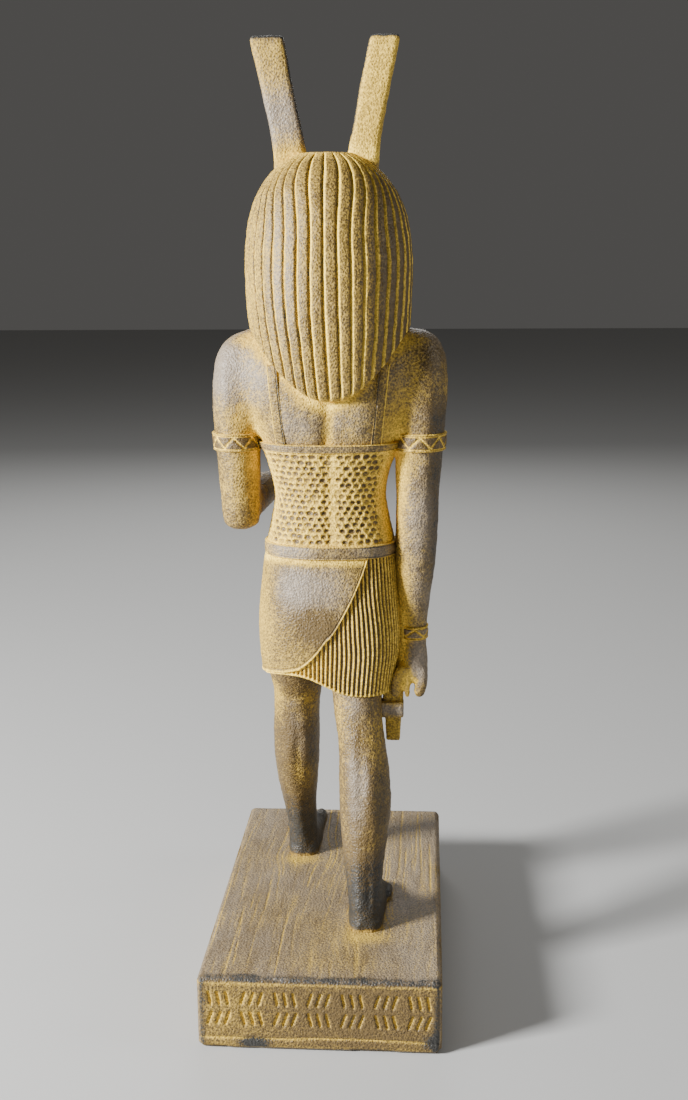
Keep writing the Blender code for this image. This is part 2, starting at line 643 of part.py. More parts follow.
def straps():
    """Four straps from the corset's band over the back and the chest."""
    made = []
    pairs = ((BACK_STRAPS, True, BACK_STRAP_TOP), (FRONT_STRAPS, False, FRONT_STRAP_TOP))
    for places, behind, top in pairs:
        for x in places:
            rings = []
            for z in np.linspace(STRAP_FOOT, top, 6):
                centre_x = x * (1.0 + STRAP_LEAN * (z - STRAP_FOOT))
                row = row_at(TORSO, z)
                depth = row[5] if behind else row[4]
                share = min(0.98, abs(centre_x - row[0]) / row[3])
                reach = depth * (1 - share ** (2 / row[6])) ** (row[6] / 2)
                away = 1.0 if behind else -1.0
                inner = row[1] + away * (reach - STRAP_SINK)
                outer = row[1] + away * (reach + STRAP_RAISE)
                left = centre_x - STRAP_HALF_WIDTH
                right = centre_x + STRAP_HALF_WIDTH
                corners = ((left, inner), (right, inner), (right, outer), (left, outer))
                rings.append([point(across, along, z) for across, along in corners])
            made.append(solid_from_rings("strap", rings))
    return made


def lappets():
    """Two fluted falls of the wig in front of the shoulders."""
    made = []
    for side in (1, -1):
        for strip in range(LAPPET_STRIPS):
            x = side * (LAPPET_START + LAPPET_STEP * strip) + FACE_MIDDLE
            made.append(level_loft("lappet", [(x, *row) for row in LAPPET], 5, DIGIT_SIDES))
    return made


def eyes():
    """An almond eye on each side of the face."""
    made = []
    for side in (1, -1):
        rings = []
        for x, y, z, size in EYE:
            ring = []
            for k in range(EYE_SIDES):
                turn = 2 * math.pi * k / EYE_SIDES
                out = x + EYE_BULGE * size * math.cos(turn)
                ring.append(point(FACE_MIDDLE + side * out, y, z + EYE_HALF_HEIGHT * size * math.sin(turn)))
            rings.append(ring)
        made.append(solid_from_rings("eye", rings))
    return made


def plinth():
    """The block that the figure stands on, with rounded edges and corners."""
    made = box_between(
        "plinth",
        Vector((-PLINTH_WIDTH / 2, -PLINTH_DEPTH / 2, 0.0)),
        Vector((PLINTH_WIDTH / 2, PLINTH_DEPTH / 2, PLINTH_HEIGHT)),
    )
    bevel = made.modifiers.new("rounding", "BEVEL")
    bevel.width = PLINTH_ROUNDING
    bevel.segments = 2
    return apply_modifiers(made)


def stroke_marks():
    """Strokes on the rear face: x and z of the middle, length in metres, and slant in degrees."""
    marks = []
    band = PLINTH_HEIGHT * (BAND_TOP_SHARE - BAND_FOOT_SHARE)
    for group in range(STROKE_GROUPS):
        middle = PLINTH_WIDTH * (0.41 - 0.82 * group / (STROKE_GROUPS - 1))
        for row, slant in enumerate((14, -18) if group % 2 else (-20, 10)):
            for k in range(STROKES_A_ROW):
                x = middle + (k - 1) * PLINTH_WIDTH * STROKE_STEP_SHARE
                height = BAND_FOOT_SHARE * PLINTH_HEIGHT + band * (0.25 + 0.5 * row)
                marks.append((x, height, band * STROKE_LENGTH_SHARE, slant))
    return marks


def stroke_cutters():
    """Shallow blocks that cut the strokes and the long line into the rear face."""
    face = PLINTH_DEPTH / 2
    made = []
    for middle, height, length, slant in stroke_marks():
        block = box_between(
            "stroke",
            Vector((-STROKE_WIDTH / 2, -STROKE_DEPTH, -length / 2)),
            Vector((STROKE_WIDTH / 2, STROKE_DEPTH * 2, length / 2)),
        )
        block.location = (middle, face, height)
        block.rotation_euler = (0.0, math.radians(slant), 0.0)
        made.append(block)
    line = PLINTH_HEIGHT * LINE_SHARE
    reach = PLINTH_WIDTH / 2 - PLINTH_ROUNDING
    made.append(
        box_between(
            "line",
            Vector((-reach, face - STROKE_DEPTH * 0.7, line - LINE_WIDTH / 2)),
            Vector((reach, face + STROKE_DEPTH, line + LINE_WIDTH / 2)),
        )
    )
    return made


def apply_modifiers(made):
    """Put the evaluated shape in place of the object's mesh and drop its modifiers."""
    bpy.context.view_layer.update()
    shape = bpy.data.meshes.new_from_object(made.evaluated_get(bpy.context.evaluated_depsgraph_get()))
    made.modifiers.clear()
    made.data = shape
    return made


def combine(base, others, operation):
    """Join the other solids to the base, or cut them out of it, with one exact Boolean."""
    tools = bpy.data.collections.new("tools")
    bpy.context.scene.collection.children.link(tools)
    for other in others:
        bpy.context.scene.collection.objects.unlink(other)
        tools.objects.link(other)
    boolean = base.modifiers.new(operation.lower(), "BOOLEAN")
    boolean.operation = operation
    boolean.operand_type = "COLLECTION"
    boolean.collection = tools
    boolean.solver = "EXACT"
    apply_modifiers(base)
    for other in others:
        bpy.data.objects.remove(other)
    bpy.data.collections.remove(tools)


def stone():
    """Dusted dark stone as one plain colour."""
    material = bpy.data.materials.new("dusted_basalt")
    material.use_nodes = True
    shader = material.node_tree.nodes["Principled BSDF"]
    shader.inputs["Base Color"].default_value = STONE_COLOUR
    shader.inputs["Roughness"].default_value = STONE_ROUGHNESS
    shader.inputs["Metallic"].default_value = 0.0
    return material


def build():
    """Make every form, join them into one carved block and cut the marks."""
    for old in list(bpy.data.objects):
        bpy.data.objects.remove(old)
    statue = plinth()
    combine(statue, stroke_cutters(), "DIFFERENCE")
    forms = [
        torso(),
        level_loft("right_arm", RIGHT_ARM, 12, LIMB_SIDES),
        level_loft("left_arm", LEFT_UPPER_ARM, 10, LIMB_SIDES),
        path_loft("left_forearm", LEFT_FOREARM, 8, LIMB_SIDES),
        level_loft("left_leg", LEFT_LEG, 11, LIMB_SIDES),
        level_loft("right_leg", RIGHT_LEG, 11, LIMB_SIDES),
        path_loft("face", FACE, 9, FACE_SIDES),
        level_loft("left_ear", LEFT_EAR, 4, EAR_SIDES),
        level_loft("right_ear", RIGHT_EAR, 4, EAR_SIDES),
        band_round("right_armlet", RIGHT_ARM, ARMLET_FOOT, ARMLET_TOP, ARMLET_RAISE),
        band_round("left_armlet", LEFT_UPPER_ARM, ARMLET_FOOT, ARMLET_TOP, ARMLET_RAISE),
        level_loft("arm_bridge", ARM_BRIDGE, 5, DIGIT_SIDES),
        band_round("bracelet", RIGHT_ARM, BRACELET_FOOT, BRACELET_TOP, BRACELET_RAISE, 0.3),
        wig(),
        kilt(),
        front_tab(),
    ]
    forms += feet() + hands() + ankh() + straps() + lappets() + eyes()
    combine(statue, forms, "UNION")
    statue.name = "seth_statue"
    statue.data.name = "seth_statue"
    statue.data.materials.clear()
    statue.data.materials.append(stone())
    statue.data.shade_smooth()
    statue.data.set_sharp_from_angle(angle=math.radians(35))


build()
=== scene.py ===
"""A striding stone figure with the long-eared head of Seth, dusted with ochre, on its block plinth.

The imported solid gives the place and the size. Every carved surface here is worked out on a grid from
the figure's stations, which are in units of a 350th of its height, measured from the plinth's top.
The figure looks towards -Y and the photograph's side is its back, at +Y.
"""

import math

import bpy
import numpy as np
from mathutils import Matrix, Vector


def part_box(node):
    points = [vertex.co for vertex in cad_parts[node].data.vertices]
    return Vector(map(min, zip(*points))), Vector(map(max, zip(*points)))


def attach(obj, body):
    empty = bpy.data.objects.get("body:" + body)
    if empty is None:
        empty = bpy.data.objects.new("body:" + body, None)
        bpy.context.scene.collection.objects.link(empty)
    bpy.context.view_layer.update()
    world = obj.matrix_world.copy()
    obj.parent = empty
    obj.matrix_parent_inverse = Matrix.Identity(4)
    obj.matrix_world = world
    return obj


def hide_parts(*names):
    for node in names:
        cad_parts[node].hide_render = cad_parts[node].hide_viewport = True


bl_info = {
    "name": "Dusted Stone Figure",
    "version": (1, 0, 0),
    "blender": (4, 5, 0),
    "location": "View3D > Sidebar > Stone Figure",
    "description": "Carved surfaces and finish of a dusted stone figure on its plinth",
    "category": "Add Mesh",
}

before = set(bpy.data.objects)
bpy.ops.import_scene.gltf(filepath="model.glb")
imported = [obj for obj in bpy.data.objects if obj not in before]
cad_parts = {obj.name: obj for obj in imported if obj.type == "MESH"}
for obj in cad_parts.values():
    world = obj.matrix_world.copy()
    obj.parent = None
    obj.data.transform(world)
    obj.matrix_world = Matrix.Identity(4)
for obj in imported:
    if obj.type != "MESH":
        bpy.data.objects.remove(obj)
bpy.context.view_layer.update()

NODE = "seth_statue"
LOW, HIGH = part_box(NODE)
TOTAL_HEIGHT = float(HIGH[2] - LOW[2])
PLINTH_DEPTH = float(HIGH[1] - LOW[1])
PLINTH_WIDTH = 0.094
PLINTH_HEIGHT = 0.030
FIGURE_UNITS = 350.0
MM = 0.001
MERGE_DISTANCE = 1e-7
UP = (0.0, 0.0, 1.0)

# Heights of the dress, in units above the plinth
CORSET_FOOT = 156.0
CORSET_TOP = 194.0
BAND_TOP = 197.2
BELT_FOOT = 151.0
BELT_TOP = 156.8
ARMLET_FOOT = 193.4
ARMLET_TOP = 200.5
BRACELET_FOOT = 115.2
BRACELET_TOP = 120.6
STRAP_FOOT = 195.5
STRAP_HALF_WIDTH = 2.1
ANKH_BAR = 85.8
WIG_CAP = 307.0
# Heights at which a piece's columns stand at equal steps of length
WAIST = 175.0
WIG_WIDEST = 262.0
KILT_WIDEST = 113.0
# How far a band's closing rings lie inside the stone, and a foot's lower side under the plinth's top
BAND_GRIP = 1.5
SINK = 1.5
# Inscription strokes: groups in a row, and the foot and top of their band as shares of the plinth's height
STROKE_GROUPS = 7
STROKE_BAND = (0.30, 0.86)
# Tool marks on the plinth's top: how many, where they part round a foot, and how far from it
TOOL_LINES = 44
PARTED_AT = ((-16.4, 42.0), (15.9, -27.0))
PARTED_REACH = 70.0
# Depths of the plinth's relief, in metres
TOOL_DEPTH = 0.00028
STREAK_DEPTH = 0.00014
WORN_DEPTH = 0.0006
ROUGH_DEPTH = 0.00030
# Middle of the eye as y and z, its slope, and the middle of the nostril
EYE = (-21.0, 276.0)
EYE_SLOPE = (0.97, 0.22)
NOSTRIL = (-58.4, 252.4)

# Stations: x, y, z, half width, depth in front, depth behind, squareness (1 is an ellipse)
TORSO = (
    (-0.6, 8.0, 140.0, 23.0, 13.0, 15.0, 0.88),
    (-0.9, 8.0, 156.0, 25.0, 15.0, 17.0, 0.86),
    (-0.8, 8.0, 165.0, 23.2, 14.5, 16.3, 0.86),
    (-0.8, 8.0, 175.0, 21.6, 14.2, 16.2, 0.86),
    (-0.7, 8.0, 185.0, 23.2, 15.2, 17.6, 0.85),
    (-1.0, 8.0, 195.0, 26.8, 17.0, 19.6, 0.82),
    (-0.8, 8.0, 206.0, 31.0, 19.5, 21.6, 0.80),
    (-0.6, 8.0, 217.0, 34.5, 20.5, 22.2, 0.80),
    (-0.5, 8.0, 227.0, 37.0, 18.5, 21.0, 0.80),
    (-0.5, 8.0, 234.0, 38.5, 14.8, 17.2, 0.82),
    (-0.5, 8.0, 240.0, 34.5, 11.0, 13.4, 0.88),
    (-0.5, 8.0, 244.6, 24.0, 9.5, 11.4, 0.95),
    (-0.5, 7.0, 254.0, 14.5, 11.0, 11.0, 1.0),
    (-0.5, 6.0, 270.0, 14.0, 12.0, 12.0, 1.0),
)
RIGHT_ARM = (
    (-34.8, 7.6, 97.0, 3.6, 7.0, 7.0, 0.85),
    (-34.8, 7.7, 100.5, 5.5, 8.6, 8.6, 0.85),
    (-34.9, 7.8, 105.0, 5.7, 8.4, 8.4, 0.90),
    (-35.1, 8.0, 111.5, 5.0, 6.6, 6.6, 0.95),
    (-35.2, 8.0, 119.0, 4.8, 5.9, 5.9, 0.95),
    (-35.0, 8.6, 131.0, 6.2, 7.6, 7.6, 0.95),
    (-35.2, 9.2, 148.5, 8.3, 9.2, 9.2, 0.95),
    (-35.9, 9.6, 164.0, 8.5, 9.4, 9.6, 0.95),
    (-36.0, 9.6, 177.0, 8.6, 9.8, 10.0, 0.95),
    (-36.5, 9.4, 190.0, 9.4, 10.4, 10.8, 0.95),
    (-37.0, 9.0, 202.0, 9.7, 11.6, 11.8, 0.95),
    (-37.4, 8.6, 213.0, 10.1, 12.8, 13.0, 0.95),
    (-37.6, 8.2, 224.0, 9.9, 13.2, 13.2, 0.95),
    (-37.2, 8.0, 232.0, 8.9, 11.6, 11.6, 0.95),
    (-36.0, 8.0, 238.0, 6.6, 8.6, 8.6, 1.0),
    (-35.0, 8.0, 241.0, 3.0, 4.0, 4.0, 1.0),
)
# Stone left between the right forearm and the kilt
ARM_BRIDGE = (
    (-30.2, 8.0, 100.0, 3.2, 3.4, 3.6, 1.0),
    (-30.4, 8.0, 112.0, 3.4, 3.8, 4.0, 1.0),
    (-30.4, 8.2, 128.0, 3.4, 4.0, 4.2, 1.0),
    (-29.6, 8.4, 142.0, 3.4, 3.8, 4.0, 1.0),
    (-28.8, 8.4, 150.0, 3.4, 3.4, 3.6, 1.0),
)
LEFT_UPPER_ARM = (
    (35.3, 10.4, 161.2, 3.6, 4.6, 4.6, 1.0),
    (35.3, 10.4, 162.6, 6.0, 7.2, 7.4, 0.95),
    (35.3, 10.4, 166.0, 7.3, 8.6, 8.8, 0.90),
    (35.4, 10.3, 172.0, 7.8, 9.3, 9.5, 0.92),
    (35.6, 10.2, 180.0, 8.1, 9.7, 9.9, 0.95),
    (36.0, 9.6, 190.0, 8.6, 10.2, 10.6, 0.95),
    (36.5, 9.0, 202.0, 9.1, 11.4, 11.6, 0.95),
    (36.6, 8.6, 213.0, 9.3, 12.6, 12.8, 0.95),
    (36.2, 8.2, 224.0, 9.1, 13.0, 13.0, 0.95),
    (35.2, 8.0, 231.0, 8.5, 11.6, 11.6, 0.95),
    (33.8, 8.0, 236.5, 6.4, 8.8, 8.8, 1.0),
    (32.4, 8.0, 240.0, 3.2, 4.2, 4.2, 1.0),
)
# Forearm and fist, along their own path: x, y, z, half width, below, above, squareness
LEFT_FOREARM = (
    (35.8, 13.0, 170.0, 6.5, 7.0, 7.0, 0.95),
    (35.6, 6.0, 170.4, 8.2, 8.6, 8.6, 0.95),
    (34.4, -4.0, 171.0, 8.2, 8.4, 8.4, 0.95),
    (31.6, -17.0, 171.8, 7.2, 7.6, 7.6, 0.95),
    (28.0, -30.0, 172.4, 5.4, 6.0, 6.0, 0.95),
    (25.6, -38.0, 172.6, 5.2, 6.2, 6.2, 0.92),
    (24.0, -44.0, 172.8, 6.2, 7.8, 7.8, 0.85),
    (22.6, -50.0, 173.0, 5.6, 7.4, 7.4, 0.85),
)
LEFT_LEG = (
    (16.0, -33.0, -1.0, 6.0, 7.0, 7.2, 1.0),
    (16.0, -33.2, 6.0, 6.6, 7.2, 7.5, 1.0),
    (16.2, -31.5, 15.0, 6.6, 6.8, 7.3, 1.0),
    (17.0, -28.2, 27.0, 7.5, 7.6, 8.6, 1.0),
    (17.3, -24.5, 40.0, 9.0, 9.0, 10.4, 1.0),
    (17.3, -21.5, 52.0, 10.0, 10.0, 11.8, 1.0),
    (17.0, -18.5, 64.0, 10.2, 10.4, 11.2, 1.0),
    (16.4, -15.0, 76.0, 9.9, 10.8, 9.8, 1.0),
    (15.7, -12.0, 86.0, 10.4, 11.4, 10.4, 1.0),
    (15.6, -7.5, 98.0, 12.2, 11.5, 12.2, 1.0),
    (13.6, -2.5, 112.0, 12.6, 12.0, 13.0, 1.0),
    (13.0, 2.0, 130.0, 12.6, 12.0, 13.0, 1.0),
)
RIGHT_LEG = (
    (-15.4, 35.5, -1.0, 5.8, 7.0, 7.4, 1.0),
    (-15.8, 35.5, 8.0, 6.8, 7.2, 7.7, 1.0),
    (-15.2, 33.0, 19.5, 7.5, 7.2, 8.2, 1.0),
    (-15.2, 29.5, 35.0, 9.3, 8.6, 10.2, 1.0),
    (-15.4, 26.0, 50.0, 10.6, 10.0, 11.8, 1.0),
    (-15.0, 23.5, 60.0, 10.4, 10.4, 11.8, 1.0),
    (-14.0, 20.5, 72.0, 9.7, 10.2, 10.0, 1.0),
    (-12.2, 17.0, 84.0, 9.8, 11.0, 9.4, 1.0),
    (-11.5, 13.4, 96.0, 10.4, 12.5, 10.2, 1.0),
    (-11.6, 10.4, 112.0, 11.6, 13.5, 11.0, 1.0),
    (-12.0, 8.5, 130.0, 12.0, 14.0, 12.5, 1.0),
)
# A foot from the heel forwards: outward shift, distance, half width, height, squareness
FOOT = (
    (0.0, 0.3, 3.0, 5.0, 1.0),
    (0.0, 2.5, 5.9, 9.5, 1.0),
    (0.0, 7.5, 7.1, 13.0, 1.0),
    (0.0, 14.0, 7.5, 14.0, 1.0),
    (0.2, 22.0, 7.8, 11.2, 1.0),
    (0.4, 30.0, 8.0, 8.0, 0.95),
    (0.5, 37.0, 8.4, 6.2, 0.9),
    (0.5, 41.0, 7.6, 4.4, 0.9),
    (0.3, 44.5, 6.4, 1.5, 0.9),
)
# A toe: place across from the inner side, distance of its tip from the heel, radius
TOE_SET = (
    (-5.6, 47.2, 2.9),
    (-1.2, 46.6, 1.9),
    (2.2, 45.2, 1.8),
    (5.3, 43.2, 1.7),
    (8.2, 40.6, 1.7),
)
# A toe along its length: distance behind the tip, share of the radius, rise
TOE_FORM = ((11.0, 0.9, 1.6), (4.5, 1.0, 0.8), (1.6, 0.95, 0.5), (0.3, 0.55, 0.3), (0.0, 0.2, 0.2))
LEFT_HEEL = (15.9, -25.6)
RIGHT_HEEL = (-15.9, 43.6)
# Wig as a full bell, before its lower edge is cut
WIG = (
    (-2.6, 10.0, 212.0, 26.0, 15.0, 23.5, 0.88),
    (-2.2, 10.0, 222.0, 28.0, 17.0, 26.4, 0.88),
    (-1.8, 10.0, 232.0, 30.0, 19.0, 28.6, 0.90),
    (-1.3, 10.0, 243.0, 31.6, 21.0, 30.0, 0.92),
    (-1.1, 10.0, 255.0, 32.4, 23.0, 30.6, 0.94),
    (-1.1, 10.0, 267.0, 32.6, 24.0, 30.4, 0.96),
    (-1.0, 10.0, 277.0, 31.8, 24.0, 29.0, 0.98),
    (-0.9, 10.0, 286.0, 29.8, 23.0, 26.4, 1.0),
    (-0.7, 10.0, 294.0, 26.2, 20.5, 22.6, 1.0),
    (-0.5, 10.0, 300.0, 21.5, 17.0, 17.8, 1.0),
    (-0.3, 10.0, 304.5, 16.0, 13.0, 12.6, 1.0),
    (-0.2, 10.0, 307.0, 11.0, 9.5, 8.8, 1.0),
)
# Animal face, along its own path: x, y, z, half width, below, above, squareness
FACE = (
    (-0.5, 4.0, 274.0, 20.0, 22.0, 22.0, 0.95),
    (-0.5, -12.0, 273.0, 19.5, 20.0, 20.5, 0.92),
    (-0.5, -20.0, 272.0, 16.5, 16.5, 17.0, 0.90),
    (-0.5, -28.0, 270.0, 12.2, 12.5, 12.4, 0.90),
    (-0.5, -38.0, 266.0, 8.8, 9.2, 8.8, 0.90),
    (-0.5, -48.0, 260.0, 7.2, 7.2, 7.2, 0.90),
    (-0.5, -56.0, 253.0, 6.6, 6.6, 6.6, 0.88),
    (-0.5, -61.0, 246.5, 6.2, 6.2, 6.2, 0.85),
    (-0.5, -62.6, 243.4, 3.6, 3.8, 3.8, 0.85),
)
KILT = (
    (-0.3, 6.5, 92.0, 26.6, 25.8, 17.6, 0.84),
    (-0.5, 7.0, 101.0, 27.6, 25.0, 18.8, 0.84),
    (-0.8, 7.5, 113.0, 28.8, 23.2, 20.0, 0.84),
    (-0.6, 8.0, 127.0, 28.6, 20.0, 20.4, 0.84),
    (-0.5, 8.0, 139.0, 27.6, 17.3, 19.4, 0.85),
    (-0.8, 8.0, 150.0, 26.6, 15.6, 17.6, 0.86),
    (-0.9, 8.0, 154.0, 26.0, 15.2, 17.0, 0.86),
)
# The rim of the kilt's smooth panel behind: share of the kilt's height, 0, degrees from the back
RIM_BEHIND = (
    (1.000, 0.0, -35.0), (0.925, 0.0, -31.0), (0.710, 0.0, -18.4), (0.550, 0.0, -8.8), (0.400, 0.0, -1.4),
    (0.245, 0.0, 5.5), (0.140, 0.0, 12.0), (0.070, 0.0, 18.6), (0.020, 0.0, 31.7), (0.000, 0.0, 62.0),
)
LEFT_EAR = (
    (12.7, 10.0, 298.0, 6.6, 3.6, 3.6, 0.35),
    (13.9, 10.0, 310.0, 6.2, 3.3, 3.3, 0.35),
    (18.0, 10.0, 330.0, 6.2, 2.8, 2.8, 0.35),
    (22.0, 10.0, 350.0, 6.6, 2.4, 2.4, 0.35),
)
RIGHT_EAR = (
    (-13.4, 10.0, 298.0, 6.8, 3.6, 3.6, 0.35),
    (-15.2, 10.0, 310.0, 5.9, 3.3, 3.3, 0.35),
    (-18.9, 10.0, 330.0, 5.8, 2.8, 2.8, 0.35),
    (-23.1, 10.0, 350.0, 5.8, 2.4, 2.4, 0.35),
)
# The camera that fits the plinth's corners in the photograph, which is 688 by 1100 pixels
CAMERA_PLACE = (-0.0392, 0.5267, 0.2941)
CAMERA_YAW = 3.65
CAMERA_PITCH = 12.22
CAMERA_ROLL = -0.36
PHOTO_LONG_SIDE = 1100
FOCAL_PIXELS = 1300
SENSOR_SIDE = 36.0
LIGHT_AIM = (0.0, 0.0, 0.2)
FLOOR_HALF_SIDE = 6.0
FLOOR_DROP = 0.0002


# Small tools for arrays

def smooth_step(low, high, values):
    """0 below low, 1 above high, and 3t^2 - 2t^3 between them."""
    share = np.clip((values - low) / (high - low), 0.0, 1.0)
    return share * share * (3.0 - 2.0 * share)


def bell(values, width):
    """exp(-(v / width)^2), a soft bump round zero."""
    return np.exp(-((values / width) ** 2))


def lattice_hash(cells, seed):
    """A fixed number from 0 to 1 for each whole-number cell, by integer mixing."""
    key = cells[..., 0] * 374761393 + cells[..., 1] * 668265263 + cells[..., 2] * 2147483647
    key = key + seed * 974634777
    key = (key ^ (key >> 13)) * 1274126177
    key = key ^ (key >> 16)
    return (key & 0xFFFFFF).astype(float) / 0xFFFFFF


def noise(places, cell, seed=0):
    """Smooth noise from 0 to 1: values at the corners of cubes of this side, blended by 3t^2 - 2t^3."""
    spot = np.asarray(places, dtype=float) / cell
    base = np.floor(spot).astype(np.int64)
    part = spot - base
    part = part * part * (3.0 - 2.0 * part)
    total = np.zeros(spot.shape[:-1])
    for corner in np.ndindex(2, 2, 2):
        weight = np.ones(spot.shape[:-1])
        for axis in range(3):
            weight = weight * (part[..., axis] if corner[axis] else 1.0 - part[..., axis])
        total += weight * lattice_hash(base + np.array(corner), seed)
    return total


def layered(places, cell, seed=0, layers=3):
    """Noise in layers, each with half the cell and half the weight of the one before."""
    total = 0.0
    weight = 0.0
    for layer in range(layers):
        total = total + noise(places, cell / 2**layer, seed + 17 * layer) / 2**layer
        weight += 1.0 / 2**layer
    return total / weight


def spots(places, wanted):
    """Sum of soft spots, each amount * exp(-(distance / radius)^2), with a radius for each axis."""
    total = np.zeros(places.shape[:-1])
    for centre, radius, amount in wanted:
        away = (places - np.array(centre)) / np.array(radius)
        total += amount * np.exp(-np.sum(away * away, axis=-1))
    return total


def cubic(table, slopes, low, part, span=1.0):
    """Rows from table[low] to table[low + 1], on the cubic with these values and slopes at its ends."""
    start = table[low] * (2 * part**3 - 3 * part**2 + 1) + slopes[low] * span * (part**3 - 2 * part**2 + part)
    end = table[low + 1] * (3 * part**2 - 2 * part**3) + slopes[low + 1] * span * (part**3 - part**2)
    return start + end


def read(stations, z):
    """Station rows at heights z, on the cubic that passes through the stations with their mean slopes."""
    table = np.array(stations, dtype=float)
    heights = table[:, 2]
    slopes = np.gradient(table, heights, axis=0)
    z = np.clip(z, heights[0], heights[-1])
    low = np.clip(np.searchsorted(heights, z) - 1, 0, len(table) - 2)
    span = (heights[low + 1] - heights[low])[..., None]
    return cubic(table, slopes, low, (z - heights[low])[..., None] / span, span)


def rounded(values, squareness):
    """sign(v) * |v|^squareness, which flattens the sides of a circle as squareness falls."""
    return np.sign(values) * np.abs(values) ** squareness


def level_places(stations, z, turn, lift=0.0):
    """Places on level sections: angle 0 is the back, and a quarter turn is the left side.

    x = centre + (half width + lift) * S(sin), y = centre + (depth + lift) * S(cos), S as in rounded.
    """
    z, turn = np.broadcast_arrays(z, turn)
    row = read(stations, z)
    across = np.sin(turn)
    along = np.cos(turn)
    depth = np.where(along >= 0, row[..., 5], row[..., 4])
    x = row[..., 0] + (row[..., 3] + lift) * rounded(across, row[..., 6])
    y = row[..., 1] + (depth + lift) * rounded(along, row[..., 6])
    return np.stack([x, y, z], axis=-1)


def even_turns(stations, z, count):
    """Angles at equal steps of length round the level section at z, from the back towards the left."""
    turn = np.linspace(0.0, 2 * np.pi, 6001)
    ring = level_places(stations, np.full(turn.shape, z), turn)
    length = np.concatenate([[0.0], np.cumsum(np.linalg.norm(np.diff(ring, axis=0), axis=1))])
    return np.interp(np.arange(count) / count * length[-1], length, turn)


def path_rows(stations, count):
    """Rows at equal shares of the steps between stations, on the cubic that passes through them."""
    table = np.array(stations, dtype=float)
    at = np.linspace(0.0, len(table) - 1.0, count)
    low = np.minimum(at.astype(int), len(table) - 2)
    return cubic(table, np.gradient(table, axis=0), low, (at - low)[:, None])


def path_places(stations, count, sides, across=(1.0, 0.0, 0.0)):
    """Places round a path: each section lies square to the path, with the across axis kept."""
    rows = path_rows(stations, count)
    across = np.array(across)
    tangent = np.gradient(rows[:, :3], axis=0)
    up = np.cross(tangent, across)
    up /= np.linalg.norm(up, axis=1, keepdims=True)
    turn = np.linspace(0.0, 2 * np.pi, sides, endpoint=False)[None, :]
    reach = np.where(np.cos(turn) >= 0, rows[:, 5:6], rows[:, 4:5])
    wide = rows[:, 3:4] * rounded(np.sin(turn), rows[:, 6:7])
    high = reach * rounded(np.cos(turn), rows[:, 6:7])
    return rows[:, None, :3] + across * wide[..., None] + up[:, None, :] * high[..., None]


def rounded_end(stations, count, sides, across):
    """A tube round a path with a domed end: two more rings past its tip, at 0.78 and 0.4 of its size."""
    tube = path_places(stations, count, sides, across)
    centre = tube[-1].mean(axis=0)
    step = centre - tube[-2].mean(axis=0)
    step *= stations[-1][3] / np.linalg.norm(step)
    ends = [centre + (tube[-1] - centre) * size + step * reach for size, reach in ((0.78, 0.6), (0.4, 0.92))]
    return np.concatenate([tube, np.stack(ends)])


def level_curl(places, radius, count=9, sides=14):
    """A round finger along a level path: side = tangent x up, place = path + r sin * side + r cos * up."""
    rows = path_rows(places, count)
    tangent = np.gradient(rows, axis=0)
    tangent /= np.linalg.norm(tangent, axis=1, keepdims=True)
    side = np.cross(tangent, UP)
    turn = np.linspace(0.0, 2 * np.pi, sides, endpoint=False)[None, :, None]
    level = rows[:, None, :] + radius * np.sin(turn) * side[:, None, :]
    return level + radius * np.cos(turn) * np.array(UP)


def tube_faces(rows, columns, offset=0):
    """Quads of a tube whose columns close on themselves, and triangles to a pole at each end."""
    index = np.arange(rows * columns).reshape(rows, columns) + offset
    around = np.roll(index, -1, axis=1)
    quads = np.stack([index[:-1], around[:-1], around[1:], index[1:]], axis=-1).reshape(-1, 4)
    first = offset + rows * columns
    foot = np.stack([around[0], index[0], np.full(columns, first)], axis=-1)
    head = np.stack([index[-1], around[-1], np.full(columns, first + 1)], axis=-1)
    return quads, np.concatenate([foot, head])


def closed_tube(places, foot=None, head=None, offset=0):
    """Vertices and faces of a closed tube, whose poles are the end rings' middles unless given."""
    rows, columns = places.shape[:2]
    foot = places[0].mean(axis=0) if foot is None else np.array(foot, dtype=float)
    head = places[-1].mean(axis=0) if head is None else np.array(head, dtype=float)
    vertices = np.concatenate([places.reshape(-1, 3), foot[None], head[None]])
    quads, triangles = tube_faces(rows, columns, offset)
    return vertices, quads, triangles


def unit_length():
    """Metres in one unit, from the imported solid's height and the plinth's."""
    sizes = bpy.context.scene.stone_figure_sizes
    return (TOTAL_HEIGHT - sizes.plinth_height) / FIGURE_UNITS


def plinth_top():
    """The middle of the plinth's top, in metres."""
    return np.array((0.0, 0.0, bpy.context.scene.stone_figure_sizes.plinth_height))


def in_metres(places):
    """Units above the plinth's top as metres in the object's frame."""
    return np.asarray(places) * unit_length() + plinth_top()


def make_mesh(name, vertices, quads, triangles=None):
    """A mesh object from arrays, with its faces turned outward, in metres."""
    mesh = bpy.data.meshes.new(name)
    faces = quads.tolist() + ([] if triangles is None else triangles.tolist())
    mesh.from_pydata(vertices.tolist(), [], faces)
    mesh.update()
    made = bpy.data.objects.new(name, mesh)
    bpy.context.scene.collection.objects.link(made)
    outward(made)
    mesh.shade_smooth()
    return made


def outward(made):
    """Flip the whole mesh if its signed volume, the sum of face cone volumes, is negative."""
    mesh = made.data
    mesh.calc_loop_triangles()
    count = len(mesh.loop_triangles)
    corners = np.empty(count * 3, dtype=np.int32)
    mesh.loop_triangles.foreach_get("vertices", corners)
    places = vertices_of(made)
    one, two, three = (places[corners.reshape(-1, 3)[:, k]] for k in range(3))
    if np.sum(one * np.cross(two, three)) < 0:
        mesh.flip_normals()


